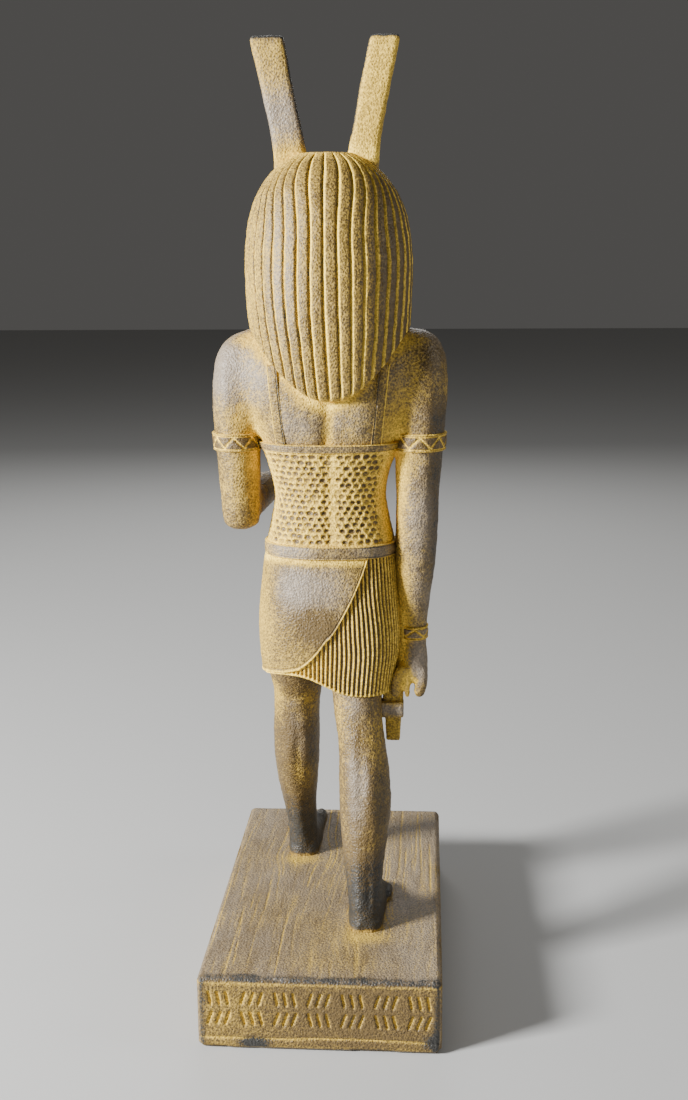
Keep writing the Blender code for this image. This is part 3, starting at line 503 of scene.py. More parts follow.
def vertices_of(made):
    """The object's vertices as an array."""
    places = np.empty(len(made.data.vertices) * 3)
    made.data.vertices.foreach_get("co", places)
    return places.reshape(-1, 3)


def put_vertices(made, places):
    """Write the vertices back."""
    made.data.vertices.foreach_set("co", places.reshape(-1))
    made.data.update()


def normals_of(made):
    """The object's vertex normals as an array."""
    values = np.empty(len(made.data.vertices) * 3)
    made.data.vertices.foreach_get("normal", values)
    return values.reshape(-1, 3)


def put_values(made, name, values):
    """A value for each vertex, kept as an attribute that the finish reads."""
    layer = made.data.attributes.new(name, "FLOAT", "POINT")
    layer.data.foreach_set("value", np.ascontiguousarray(values, dtype=np.float32).reshape(-1))


def relaxed(places, edges, times, weight=0.5):
    """Each vertex drawn towards the mean of its neighbours, so many times."""
    count = len(places)
    one, two = edges[:, 0], edges[:, 1]
    degree = np.bincount(one, minlength=count) + np.bincount(two, minlength=count)
    for _ in range(times):
        mean = np.empty_like(places)
        for axis in range(3):
            total = np.bincount(one, places[two, axis], count) + np.bincount(two, places[one, axis], count)
            mean[:, axis] = total / degree
        places = places + (mean - places) * (weight if np.isscalar(weight) else weight[:, None])
    return places


def edges_of(made):
    """The object's edges as pairs of vertex numbers."""
    pairs = np.empty(len(made.data.edges) * 2, dtype=np.int32)
    made.data.edges.foreach_get("vertices", pairs)
    return pairs.reshape(-1, 2)


def fused(name, tubes, cell, soften):
    """One skin round all the tubes: they are joined, remeshed on cubes of this side and relaxed."""
    parts = []
    count = 0
    for tube in tubes:
        parts.append(closed_tube(in_metres(tube), offset=count))
        count += len(parts[-1][0])
    rough = make_mesh(name + "_rough", *(np.concatenate(part) for part in zip(*parts)))
    remesh = rough.modifiers.new("fuse", "REMESH")
    remesh.mode = "VOXEL"
    remesh.voxel_size = cell
    bpy.context.view_layer.update()
    shape = bpy.data.meshes.new_from_object(rough.evaluated_get(bpy.context.evaluated_depsgraph_get()))
    bpy.data.objects.remove(rough)
    shape.name = name
    made = bpy.data.objects.new(name, shape)
    bpy.context.scene.collection.objects.link(made)
    put_vertices(made, relaxed(vertices_of(made), edges_of(made), soften))
    shape.shade_smooth()
    return made


def hollows(made, times):
    """Depth below the relaxed neighbourhood, in units: above 0 in a crease, below 0 on an edge."""
    places = vertices_of(made)
    away = relaxed(places, edges_of(made), times) - places
    return np.sum(away * normals_of(made), axis=1) / unit_length()


def in_units(made):
    """The object's vertices in units above the plinth's top."""
    return (vertices_of(made) - plinth_top()) / unit_length()


def push_out(made, shift):
    """Move each vertex along its normal, by so many units."""
    put_vertices(made, vertices_of(made) + normals_of(made) * (shift * unit_length())[:, None])


def tube_piece(name, places, foot=None, head=None):
    """A closed tube, given in units, as a mesh object in metres."""
    vertices, quads, triangles = closed_tube(places, foot, head)
    return make_mesh(name, in_metres(vertices), quads, triangles)


def with_poles(values, pole=0.0):
    """The values of a tube's grid as one row, with those of its two poles after them."""
    return np.concatenate([values.reshape(-1), [pole, pole]])


def finish_piece(made, dust, rub_and_highlight=0.0, bare_and_shade=0.0, material=None):
    """Write the finish attributes, give the stone and tie the piece to the frame."""
    count = len(made.data.vertices)
    # The three values: ochre dust, with painted light and shade in places; worn grey, which also paints
    # highlights; dark stone, which also paints shade.
    put_values(made, "dust", np.broadcast_to(dust, (count,)))
    put_values(made, "rub_and_highlight", np.broadcast_to(rub_and_highlight, (count,)))
    put_values(made, "bare_and_shade", np.broadcast_to(bare_and_shade, (count,)))
    made.data.materials.clear()
    made.data.materials.append(material or stone("figure_stone"))
    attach(made, "root")
    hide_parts(NODE)
    return made


def grain(places, amount, cell=0.9, seed=3):
    """Small unevenness of the dusted stone, centred on zero."""
    return amount * (layered(places, cell, seed, 2) - 0.5)


def patches(places, amount, cell, seed):
    """Broad unevenness of the dust, in three layers centred on zero."""
    return amount * (layered(places, cell, seed) - 0.5)


def round_off(share):
    """1 - sqrt(1 - (1 - t)^2): how far a rounded edge falls back, from 1 at its rim to 0 at share 1."""
    return 1.0 - np.sqrt(1.0 - (1.0 - np.clip(share, 0.0, 1.0)) ** 2)


# Finish

def add_node(tree, kind, **values):
    """A node with its input sockets or its own settings filled in by name."""
    made = tree.nodes.new(kind)
    for name, value in values.items():
        if hasattr(made, name):
            setattr(made, name, value)
        else:
            made.inputs[name.replace("_", " ")].default_value = value
    return made


def mixed(tree, factor, one, two):
    """A colour mix whose factor and colours are sockets or plain colours, at inputs 0, 6 and 7."""
    made = tree.nodes.new("ShaderNodeMix")
    made.data_type = "RGBA"
    for socket, value in ((made.inputs[0], factor), (made.inputs[6], one), (made.inputs[7], two)):
        if isinstance(value, bpy.types.NodeSocket):
            tree.links.new(value, socket)
        else:
            socket.default_value = value
    return made.outputs[2]


def ranged(tree, value, low, high, to_low=0.0, to_high=1.0):
    """A value taken smoothly from one range to another."""
    made = tree.nodes.new("ShaderNodeMapRange")
    made.interpolation_type = "SMOOTHSTEP"
    for number, limit in enumerate((low, high, to_low, to_high), start=1):
        made.inputs[number].default_value = limit
    tree.links.new(value, made.inputs[0])
    return made.outputs[0]


def summed(tree, start, terms):
    """A constant and the sum of sockets, each times its own weight."""
    total = None
    for value, weight in terms:
        made = tree.nodes.new("ShaderNodeMath")
        made.operation = "MULTIPLY_ADD"
        tree.links.new(value, made.inputs[0])
        made.inputs[1].default_value = weight
        if total is None:
            made.inputs[2].default_value = start
        else:
            tree.links.new(total, made.inputs[2])
        total = made.outputs[0]
    return total


def stone(name, stretch=(1.0, 1.0, 1.0)):
    """Dark stone under ochre dust: colour steps from dark stone to worn grey to dusted by the piece's own
    values.
    The dark stone colour also paints shade, and the worn grey also paints highlights.

    Each of the piece's values is shifted by noise of several grain sizes, centred on zero, and then
    taken through a smooth step that mixes in its colour.
    """
    known = bpy.data.materials.get(name)
    if known:
        return known
    colours = bpy.context.scene.stone_figure_colours
    material = bpy.data.materials.new(name)
    material.use_nodes = True
    tree = material.node_tree
    shader = tree.nodes["Principled BSDF"]
    place = add_node(tree, "ShaderNodeTexCoord").outputs["Object"]
    mapping = add_node(tree, "ShaderNodeMapping", Scale=stretch)
    tree.links.new(place, mapping.inputs["Vector"])
    pebbles = add_node(tree, "ShaderNodeTexVoronoi", Scale=1150.0)
    tree.links.new(place, pebbles.inputs["Vector"])
    fields = {"pit": ranged(tree, pebbles.outputs["Distance"], 0.15, 0.75)}
    for key, scale, detail, source in (
        ("speck", 1200.0, 1.0, place),
        ("fleck", 2200.0, 2.0, place),
        ("blotch", 260.0, 3.0, mapping.outputs[0]),
        ("cloud", 45.0, 3.0, mapping.outputs[0]),
    ):
        field = add_node(tree, "ShaderNodeTexNoise", Scale=scale, Detail=detail, Roughness=0.6)
        tree.links.new(source, field.inputs["Vector"])
        fields[key] = field.outputs["Fac"]
    marks = {}
    # The second and third values also carry painted highlights and painted shade.
    for key in ("dust", "rub_and_highlight", "bare_and_shade"):
        marks[key] = add_node(tree, "ShaderNodeAttribute", attribute_name=key).outputs["Fac"]
    speck = ranged(tree, fields["speck"], 0.34, 0.66)
    level = summed(tree, -0.80, [
        (marks["dust"], 1.0), (fields["pit"], 0.25), (speck, 0.22), (fields["fleck"], 0.26),
        (fields["blotch"], 0.42)])
    # Grey for worn high places and for painted highlights.
    rubbed_and_highlight = summed(tree, -0.7, [
        (marks["rub_and_highlight"], 1.0), (fields["blotch"], 0.5), (fields["cloud"], 0.7), (speck, 0.1)])
    # Dark stone, for uncovered stone and for painted shade.
    worn = summed(tree, -0.8, [
        (marks["bare_and_shade"], 1.0), (fields["blotch"], 0.8), (speck, 0.4), (fields["fleck"], 0.3)])
    ground = mixed(tree, ranged(tree, rubbed_and_highlight, 0.1, 0.8), tuple(colours.brown), tuple(colours.rubbed_and_highlight))
    colour = mixed(tree, ranged(tree, level, -0.1, 0.85), ground, tuple(colours.dust))
    colour = mixed(tree, ranged(tree, level, 0.75, 1.5), colour, tuple(colours.bright_dust))
    colour = mixed(tree, ranged(tree, worn, 0.2, 0.85), colour, tuple(colours.bare_and_shade))
    grit = summed(tree, 0.62, [(fields["pit"], 0.3), (speck, 0.25), (fields["fleck"], 0.3)])
    graded = add_node(tree, "ShaderNodeVectorMath", operation="SCALE")
    tree.links.new(colour, graded.inputs[0])
    tree.links.new(grit, graded.inputs["Scale"])
    tree.links.new(graded.outputs[0], shader.inputs["Base Color"])
    roughness = ranged(tree, level, 0.0, 0.8, 0.46, 0.85)
    tree.links.new(roughness, shader.inputs["Roughness"])
    shader.inputs["Specular IOR Level"].default_value = 0.4
    height = summed(tree, 0.0, [
        (fields["pit"], -0.4), (speck, 0.25), (fields["fleck"], 0.25), (fields["blotch"], 0.2)])
    bump = add_node(tree, "ShaderNodeBump", Strength=0.8, Distance=0.0004)
    tree.links.new(height, bump.inputs["Height"])
    tree.links.new(bump.outputs["Normal"], shader.inputs["Normal"])
    return material


def floor_finish():
    """Plain pale matt floor."""
    material = bpy.data.materials.new("pale_floor")
    material.use_nodes = True
    shader = material.node_tree.nodes["Principled BSDF"]
    shader.inputs["Base Color"].default_value = (0.46, 0.46, 0.45, 1.0)
    shader.inputs["Roughness"].default_value = 0.9
    return material


# Sizes and colours that a user would change

class StoneFigureSizes(bpy.types.PropertyGroup):
    """Sizes of the carving. Lengths, widths and depths are in metres."""

    plinth_height: bpy.props.FloatProperty(
        name="Plinth height", description="Height of the block plinth",
        default=PLINTH_HEIGHT, min=0.005, unit="LENGTH")
    plinth_width: bpy.props.FloatProperty(
        name="Plinth width", description="Width of the block plinth across the figure",
        default=PLINTH_WIDTH, min=0.02, unit="LENGTH")
    plinth_rounding: bpy.props.FloatProperty(
        name="Plinth rounding", description="Radius of the plinth's worn edges",
        default=0.0024, min=0.0005, unit="LENGTH")
    stroke_depth: bpy.props.FloatProperty(
        name="Stroke depth", description="Depth of the strokes in the plinth's rear face",
        default=0.0008, min=0.0, unit="LENGTH")
    stroke_width: bpy.props.FloatProperty(
        name="Stroke width", description="Width of the strokes in the plinth's rear face",
        default=0.0013, min=0.0002, unit="LENGTH")
    flute_depth: bpy.props.FloatProperty(
        name="Flute depth", description="Depth of the grooves in the wig",
        default=0.0011, min=0.0, unit="LENGTH")
    pleat_depth: bpy.props.FloatProperty(
        name="Pleat depth", description="Depth of the kilt's pleats",
        default=0.0008, min=0.0, unit="LENGTH")
    panel_raise: bpy.props.FloatProperty(
        name="Panel raise", description="How far the kilt's smooth panel stands over its pleats",
        default=0.0009, min=0.0, unit="LENGTH")
    scale_depth: bpy.props.FloatProperty(
        name="Dimple depth", description="Depth of the dimples between the corset's scales",
        default=0.0010, min=0.0, unit="LENGTH")
    wig_flutes: bpy.props.IntProperty(
        name="Wig flutes", description="Number of grooves round the wig", default=36, min=8)
    pleats: bpy.props.IntProperty(
        name="Pleats", description="Number of pleats round the kilt", default=90, min=8)
    scales_round: bpy.props.IntProperty(
        name="Scales round", description="Number of dimples in one row of the corset", default=43, min=8)
    scale_rows: bpy.props.IntProperty(
        name="Scale rows", description="Number of rows of dimples on the corset", default=16, min=2)


class StoneFigureColours(bpy.types.PropertyGroup):
    """Colours of the stone and of the dust in its carving; the dark stone and the grey also paint shade and
    highlights.
    """

    # Also the colour of painted shade.
    bare_and_shade: bpy.props.FloatVectorProperty(
        name="Bare stone", description="Dark stone where the dust has gone",
        subtype="COLOR", size=4, default=(0.031, 0.030, 0.027, 1.0), min=0.0, max=1.0)
    brown: bpy.props.FloatVectorProperty(
        name="Brown stone", description="Stained stone under the dust",
        subtype="COLOR", size=4, default=(0.115, 0.074, 0.025, 1.0), min=0.0, max=1.0)
    # Also the colour of painted highlights.
    rubbed_and_highlight: bpy.props.FloatVectorProperty(
        name="Rubbed stone", description="Grey of the rubbed high places",
        subtype="COLOR", size=4, default=(0.23, 0.185, 0.135, 1.0), min=0.0, max=1.0)
    dust: bpy.props.FloatVectorProperty(
        name="Dust", description="Ochre dust",
        subtype="COLOR", size=4, default=(0.50, 0.325, 0.048, 1.0), min=0.0, max=1.0)
    bright_dust: bpy.props.FloatVectorProperty(
        name="Bright dust", description="Thick yellow dust in the deepest carving",
        subtype="COLOR", size=4, default=(0.88, 0.60, 0.085, 1.0), min=0.0, max=1.0)


# The plinth

def stroke_marks(sizes):
    """Strokes on the rear face as middle x, middle z, length and slant: groups of three in two rows."""
    foot, top = STROKE_BAND
    band = sizes.plinth_height * (top - foot)
    step = sizes.plinth_width * 0.036
    marks = []
    for group in range(STROKE_GROUPS):
        middle = sizes.plinth_width * (0.41 - 0.82 * group / (STROKE_GROUPS - 1))
        for row, slant in enumerate((14, -18) if group % 2 else (-20, 10)):
            height = foot * sizes.plinth_height + band * (0.25 + 0.5 * row)
            for side in (-1, 0, 1):
                marks.append((middle + side * step, height, band * 0.36, math.radians(slant)))
    return marks


def plinth_places(sizes):
    """A rounded block as six grids: clamp to the inner box, then step out by the rounding radius.

    place = inner + rounding * (point - inner) / |point - inner|, where inner is the point clamped to
    the box less its rounding. The grids share their border places, which are merged afterwards. The
    lines lie closer together towards the rear face, which has the strokes.
    """
    half = np.array((sizes.plinth_width / 2, PLINTH_DEPTH / 2, sizes.plinth_height / 2))
    radius = sizes.plinth_rounding
    reach = half - radius
    close_from = 0.7 * reach[1]
    length = (np.linspace(-reach[1], close_from, 60, endpoint=False), np.linspace(close_from, reach[1], 34))
    lines = (
        np.linspace(-reach[0], reach[0], 190), np.concatenate(length), np.linspace(-reach[2], reach[2], 44))
    steps = []
    for side in range(3):
        edge = reach[side] + radius * np.tan(np.linspace(0, math.pi / 4, 5))
        steps.append(np.concatenate([-edge[:0:-1], lines[side], edge[1:]]))
    grids = []
    for axis in range(3):
        one, two = (axis + 1) % 3, (axis + 2) % 3
        u, v = np.meshgrid(steps[one], steps[two], indexing="ij")
        for sign in (-1.0, 1.0):
            box = np.empty(u.shape + (3,))
            box[..., axis] = sign * half[axis]
            box[..., one] = u
            box[..., two] = v
            inner = np.clip(box, -half + radius, half - radius)
            away = box - inner
            place = inner + radius * away / np.linalg.norm(away, axis=-1, keepdims=True)
            grids.append((sign, place, away))
    return grids, half


def tool_lines():
    """Long scratches on the plinth's top as x, middle y, half length, slant, half width and strength.

    They stand in even steps across the top, and each is moved and sized by its own fixed draws.
    """
    lines = []
    for number in range(TOOL_LINES):
        draw = [float(lattice_hash(np.array((number, part, 3)), 77)) for part in range(6)]
        x = -44.0 + 88.0 * (number + 0.3 + 0.5 * draw[0]) / TOOL_LINES
        lines.append((x, -60.0 + 125.0 * draw[1], 14.0 + 34.0 * draw[2], 0.07 * (draw[3] - 0.5),
                      0.16 + 0.16 * draw[4], 0.30 + 0.70 * draw[5]))
    return lines


def plinth_relief(sizes, places, outward_way):
    """Depth below the block's face and dust in it: strokes and a line behind, and tool marks on top.

    A tool mark is exp(-(off / width)^2), with off its distance across. The marks part round a foot,
    because x is moved by away_x * reach / (away_x^2 + away_y^2 + reach) before they are laid.
    """
    depth = np.zeros(len(places))
    dust = np.zeros(len(places))
    rear = smooth_step(0.7, 0.95, outward_way[:, 1])
    top = smooth_step(0.7, 0.95, outward_way[:, 2])
    x, _, z = places.T
    for middle, height, length, slant in stroke_marks(sizes):
        along = (x - middle) * math.sin(slant) + (z - height) * math.cos(slant)
        across = (x - middle) * math.cos(slant) - (z - height) * math.sin(slant)
        reach = np.hypot(across, np.maximum(np.abs(along) - length / 2 + sizes.stroke_width / 2, 0.0))
        cut = rear * (1.0 - smooth_step(0.25, 0.62, reach / sizes.stroke_width))
        depth = np.maximum(depth, cut * sizes.stroke_depth)
        dust = np.maximum(dust, cut)
    wander = (noise(places, 0.014, 5) - 0.5) * 0.0012
    line = rear * bell(z - sizes.plinth_height * 0.17 - wander, 0.0004)
    depth += line * sizes.stroke_depth * 0.7
    dust = np.maximum(dust, line)
    flow = places / unit_length()
    for foot_x, foot_y in PARTED_AT:
        away_x, away_y = flow[:, 0] - foot_x, flow[:, 1] - foot_y
        flow[:, 0] -= away_x * PARTED_REACH / (away_x**2 + away_y**2 + PARTED_REACH)
    flow[:, 0] += 0.8 * (noise(flow * np.array((0.2, 1.0, 0.2)), 16.0, 13) - 0.5)
    for line_x, line_y, half, slant, width, strength in tool_lines():
        off = flow[:, 0] - line_x - slant * (flow[:, 1] - line_y)
        inside = 1.0 - smooth_step(half * 0.6, half, np.abs(flow[:, 1] - line_y))
        mark = top * strength * inside * bell(off, width)
        depth += mark * TOOL_DEPTH
        dust = np.maximum(dust, mark)
    streak = noise(flow * np.array((1.0, 0.05, 1.0)), 0.9, 11)
    depth += top * smooth_step(0.5, 1.0, streak) * STREAK_DEPTH
    dust = np.maximum(dust, top * 0.30 * smooth_step(0.5, 0.95, streak))
    return depth, dust


def make_plinth(sizes):
    """The block with its strokes, tool marks, worn edges and dust.

    Each vertex moves in along the block's own normal, by the relief's depth, by noise where an edge is
    worn and by the size of a fine noise.
    """
    grids, half = plinth_places(sizes)
    vertices, ways, quads = [], [], []
    count = 0
    for sign, place, away in grids:
        rows, columns = place.shape[:2]
        index = np.arange(rows * columns).reshape(rows, columns) + count
        corners = (index[:-1, :-1], index[1:, :-1], index[1:, 1:], index[:-1, 1:])
        square = np.stack(corners, axis=-1).reshape(-1, 4)
        quads.append(square if sign > 0 else square[:, ::-1])
        vertices.append(place.reshape(-1, 3))
        ways.append((away / np.linalg.norm(away, axis=-1, keepdims=True)).reshape(-1, 3))
        count += rows * columns
    vertices = np.concatenate(vertices)
    ways = np.concatenate(ways)
    spot = np.round(vertices / MERGE_DISTANCE).astype(np.int64)
    _, first, index = np.unique(spot, axis=0, return_index=True, return_inverse=True)
    vertices, ways = vertices[first], ways[first]
    quads = index.reshape(-1)[np.concatenate(quads)]
    vertices[:, 2] += half[2]
    depth, dust = plinth_relief(sizes, vertices, ways)
    edge = 1.0 - np.max(np.abs(ways), axis=1)
    worn = smooth_step(0.5, 0.8, noise(vertices, 0.008, 21)) * smooth_step(0.02, 0.2, edge)
    under = smooth_step(0.5, 0.9, -ways[:, 2])
    rough = patches(vertices, ROUGH_DEPTH, 0.0022, 31) * (1.0 - under)
    shift = -depth - WORN_DEPTH * worn - np.abs(rough)
    made = make_mesh("plinth_block", vertices + ways * shift[:, None], quads)
    place = (vertices - plinth_top()) / unit_length()
    x, y, z = place.T
    rear = smooth_step(0.7, 0.95, ways[:, 1])
    top = smooth_step(0.7, 0.95, ways[:, 2])
    halo = spots(place, (
        ((-16.4, 47.0, 0.0), (8.0, 4.5, 3.0), 0.6), ((15.9, -23.0, 0.0), (8.0, 4.5, 3.0), 0.6),
        ((-10.0, 40.0, 0.0), (12.0, 16.0, 3.0), 0.2), ((0.0, 68.0, 0.0), (40.0, 7.0, 3.0), 0.12)))
    level = 0.19 + 0.8 * dust * top + dust * rear + 0.02 * rear
    level += patches(vertices, 0.35, 0.016, 41) + halo
    level += rear * spots(place, (
        ((32.0, 81.0, -14.0), (22.0, 9.0, 14.0), 0.18), ((-20.0, 79.5, -14.0), (22.0, 9.0, 12.0), -0.22)))
    rim = smooth_step(0.02, 0.25, edge)
    lip = bell(z + 2.0, 0.7) * smooth_step(78.0, 79.2, y) + 0.5 * bell(z + 28.4, 0.8) * rear
    level += 0.5 * lip
    ragged = layered(vertices, 0.005, 51)
    back_edge = smooth_step(76.5, 79.0, y + 4.0 * (ragged - 0.5)) * smooth_step(-2.4, -1.2, z)
    bare_and_shade = 0.30 * rim * smooth_step(0.25, 0.7, ragged) + 0.56 * back_edge + 0.2 * under + 0.12 * top
    bare_and_shade += rear * 0.7 * smooth_step(42.5, 45.0, np.abs(x) + 2.0 * (ragged - 0.5))
    bare_and_shade += rear * spots(place, (
        ((25.0, 81.0, -27.0), (7.0, 9.0, 3.0), 1.3), ((-44.0, 81.0, -25.0), (5.0, 9.0, 4.0), 1.0)))
    rub_and_highlight = 0.52 * top + 0.5 * rim - 0.1 * back_edge
    level -= 0.25 * back_edge
    finish_piece(made, level, rub_and_highlight, bare_and_shade, stone("plinth_stone", (1.0, 0.25, 1.0)))
    return made


# Limbs and torso

def foot_tubes(heel, side):
    """Foot and toes as closed tubes: the foot from the heel forwards, then each toe."""
    stations = []
    for shift, distance, half_width, height, squareness in FOOT:
        x, y = heel[0] + side * shift, heel[1] - distance
        stations.append((x, y, 0.0, half_width, SINK, height, squareness))
    tubes = [path_places(stations, 40, 40)]
    for across, tip, radius in TOE_SET:
        x = heel[0] + side * (0.4 + across)
        toe = []
        for back, share, rise in TOE_FORM:
            size = radius * share
            toe.append((x, heel[1] - tip + back, rise, size, size + rise + 0.4, size + 0.6, 0.9))
        tubes.append(path_places(toe, 16, 20))
    return tubes


def level_tube(stations, rows, sides, low=None):
    """A level loft as one tube, from its first station's height, or from low, to its last one's."""
    z = np.linspace(stations[0][2] if low is None else low, stations[-1][2], rows)
    turn = np.linspace(0.0, 2 * np.pi, sides, endpoint=False)
    return level_places(stations, z[:, None], turn[None, :])


def make_legs():
    """Both legs with their feet, fused into the plinth's top, with calves, knees and shins.

    The muscles are a sum of amount * exp(-((x - middle) / width)^2) * exp(-((z - height) / width)^2),
    along the normal, on the faces that look forward or back.
    """
    tubes = [level_tube(LEFT_LEG, 90, 64), level_tube(RIGHT_LEG, 90, 64)]
    tubes += foot_tubes(LEFT_HEEL, 1) + foot_tubes(RIGHT_HEEL, -1)
    made = fused("legs_and_feet", tubes, cell=0.72 * MM, soften=3)
    place = in_units(made)
    way = normals_of(made)
    x, _, z = place.T
    shift = np.zeros(len(place))
    front = smooth_step(0.1, 0.8, -way[:, 1])
    behind = smooth_step(0.1, 0.8, way[:, 1])
    for centre in (15.6, -14.2):
        near = bell(x - centre, 9.0)
        shift += near * front * (0.9 * bell(z - 85.0, 5.0) - 0.5 * bell(z - 77.0, 3.5))
        calf = 0.5 * bell(x - centre - 4.0, 3.0) + 0.5 * bell(x - centre + 4.0, 3.0)
        shift += near * behind * calf * bell(z - 58.0, 14.0)
        shift -= near * behind * 0.5 * bell(x - centre, 1.8) * bell(z - 60.0, 16.0)
        shift -= near * behind * 0.5 * bell(z - 84.0, 3.0)
        shift += near * front * 0.4 * bell(x - centre, 1.6) * bell(z - 45.0, 22.0)
        heel = bell(z - 20.0, 13.0) * behind
        off = x - centre - 1.2
        shift += near * heel * (0.6 * bell(off, 2.0) - 0.7 * bell(np.abs(off) - 4.6, 1.5))
    shift += grain(place, 0.30) + grain(place, 0.5, 3.5, 9)
    push_out(made, shift)
    crease = hollows(made, 12)
    low = 1.0 - smooth_step(16.0, 42.0, z + patches(place, 12.0, 9.0, 71))
    sole = 1.0 - smooth_step(0.3, 2.4, z)
    dust = 0.26 + patches(place, 0.4, 12.0, 61) + 2.2 * np.clip(crease, -0.1, 0.3)
    dust += spots(place, (
        ((9.0, -2.0, 80.0), (5, 12, 9), 0.5), ((25.0, -4.0, 84.0), (4, 12, 12), 0.5),
        ((17.0, -10.0, 66.0), (6, 14, 8), -0.4), ((13.0, -12.0, 46.0), (6, 12, 7), 0.35),
        ((-5.0, 24.0, 86.0), (5, 12, 10), 0.3), ((-21.0, 28.0, 74.0), (5, 12, 12), 0.45),
        ((-13.0, 36.0, 60.0), (4, 9, 18), -0.4), ((-22.0, 34.0, 48.0), (5, 12, 12), 0.15)))
    dust += -0.45 * low + 0.9 * sole
    rub_and_highlight = 0.12 + spots(place, (
        ((16.0, -4.0, 70.0), (5, 9, 14), 0.4), ((-13.0, 36.0, 58.0), (4, 9, 18), 0.5),
        ((-11.0, 24.0, 90.0), (5, 9, 8), 0.4), ((12.0, 0.0, 60.0), (6, 20, 10), 0.2)))
    bare_and_shade = 0.72 * low * (1.0 - 0.8 * sole) + 0.12
    bare_and_shade += spots(place, (
        ((-22.0, 30.0, 52.0), (4, 14, 20), 0.45), ((9.5, -14.0, 58.0), (3, 14, 20), 0.45)))
    finish_piece(made, dust, rub_and_highlight, bare_and_shade)
    return made


def hanging_finger(path, half, thick, count=14, sides=20):
    """A round tube down a path, with a domed end, of this half width and this half thickness."""
    stations = [(*place, half, thick, thick, 1.0) for place in path]
    return rounded_end(stations, count, sides, (0.0, 1.0, 0.0))


def hand_tubes():
    """Curled fingers and thumbs of both fists, with the grip that fills the left one."""
    tubes = []
    for finger in range(4):
        y = 14.2 - 4.4 * finger
        outer = ((-38.0, y, 104.0), (-38.4, y, 98.0), (-37.4, y, 93.4))
        inner = ((-31.0, y + 0.6, 104.0), (-28.2, y + 0.8, 99.0), (-27.6, y + 0.8, 93.6))
        tubes += [hanging_finger(outer, 2.5, 2.4), hanging_finger(inner, 2.5, 2.4)]
        z = 179.4 - 4.3 * finger
        curl = ((28.2, -46.0, z), (27.2, -53.0, z), (22.4, -57.0, z), (17.6, -54.6, z), (17.4, -49.0, z))
        tubes.append(level_curl(curl, 2.45, 18, 18))
    thumb = ((-33.0, -2.4, 106.0), (-30.8, -3.0, 100.0), (-30.0, -2.0, 95.0), (-30.0, -0.6, 91.4))
    tubes.append(hanging_finger(thumb, 2.7, 2.6, 16))
    prong = ((-32.8, 15.0, 103.0), (-32.6, 15.4, 98.0), (-32.4, 15.6, 92.0))
    tubes.append(hanging_finger(prong, 1.0, 1.2, 14, 14))
    thumb = ((19.4, -42.0, 178.0), (17.8, -48.0, 180.6), (18.6, -53.0, 182.0), (20.6, -55.4, 182.0))
    tubes.append(path_places([(*place, 2.4, 2.3, 2.3, 1.0) for place in thumb], 16, 18))
    grip = ((22.8, -50.2, 166.0, 4.9, 5.6, 5.6, 0.6), (22.8, -50.2, 180.5, 4.9, 5.6, 5.6, 0.6))
    tubes.append(level_tube(grip, 12, 32))
    return tubes


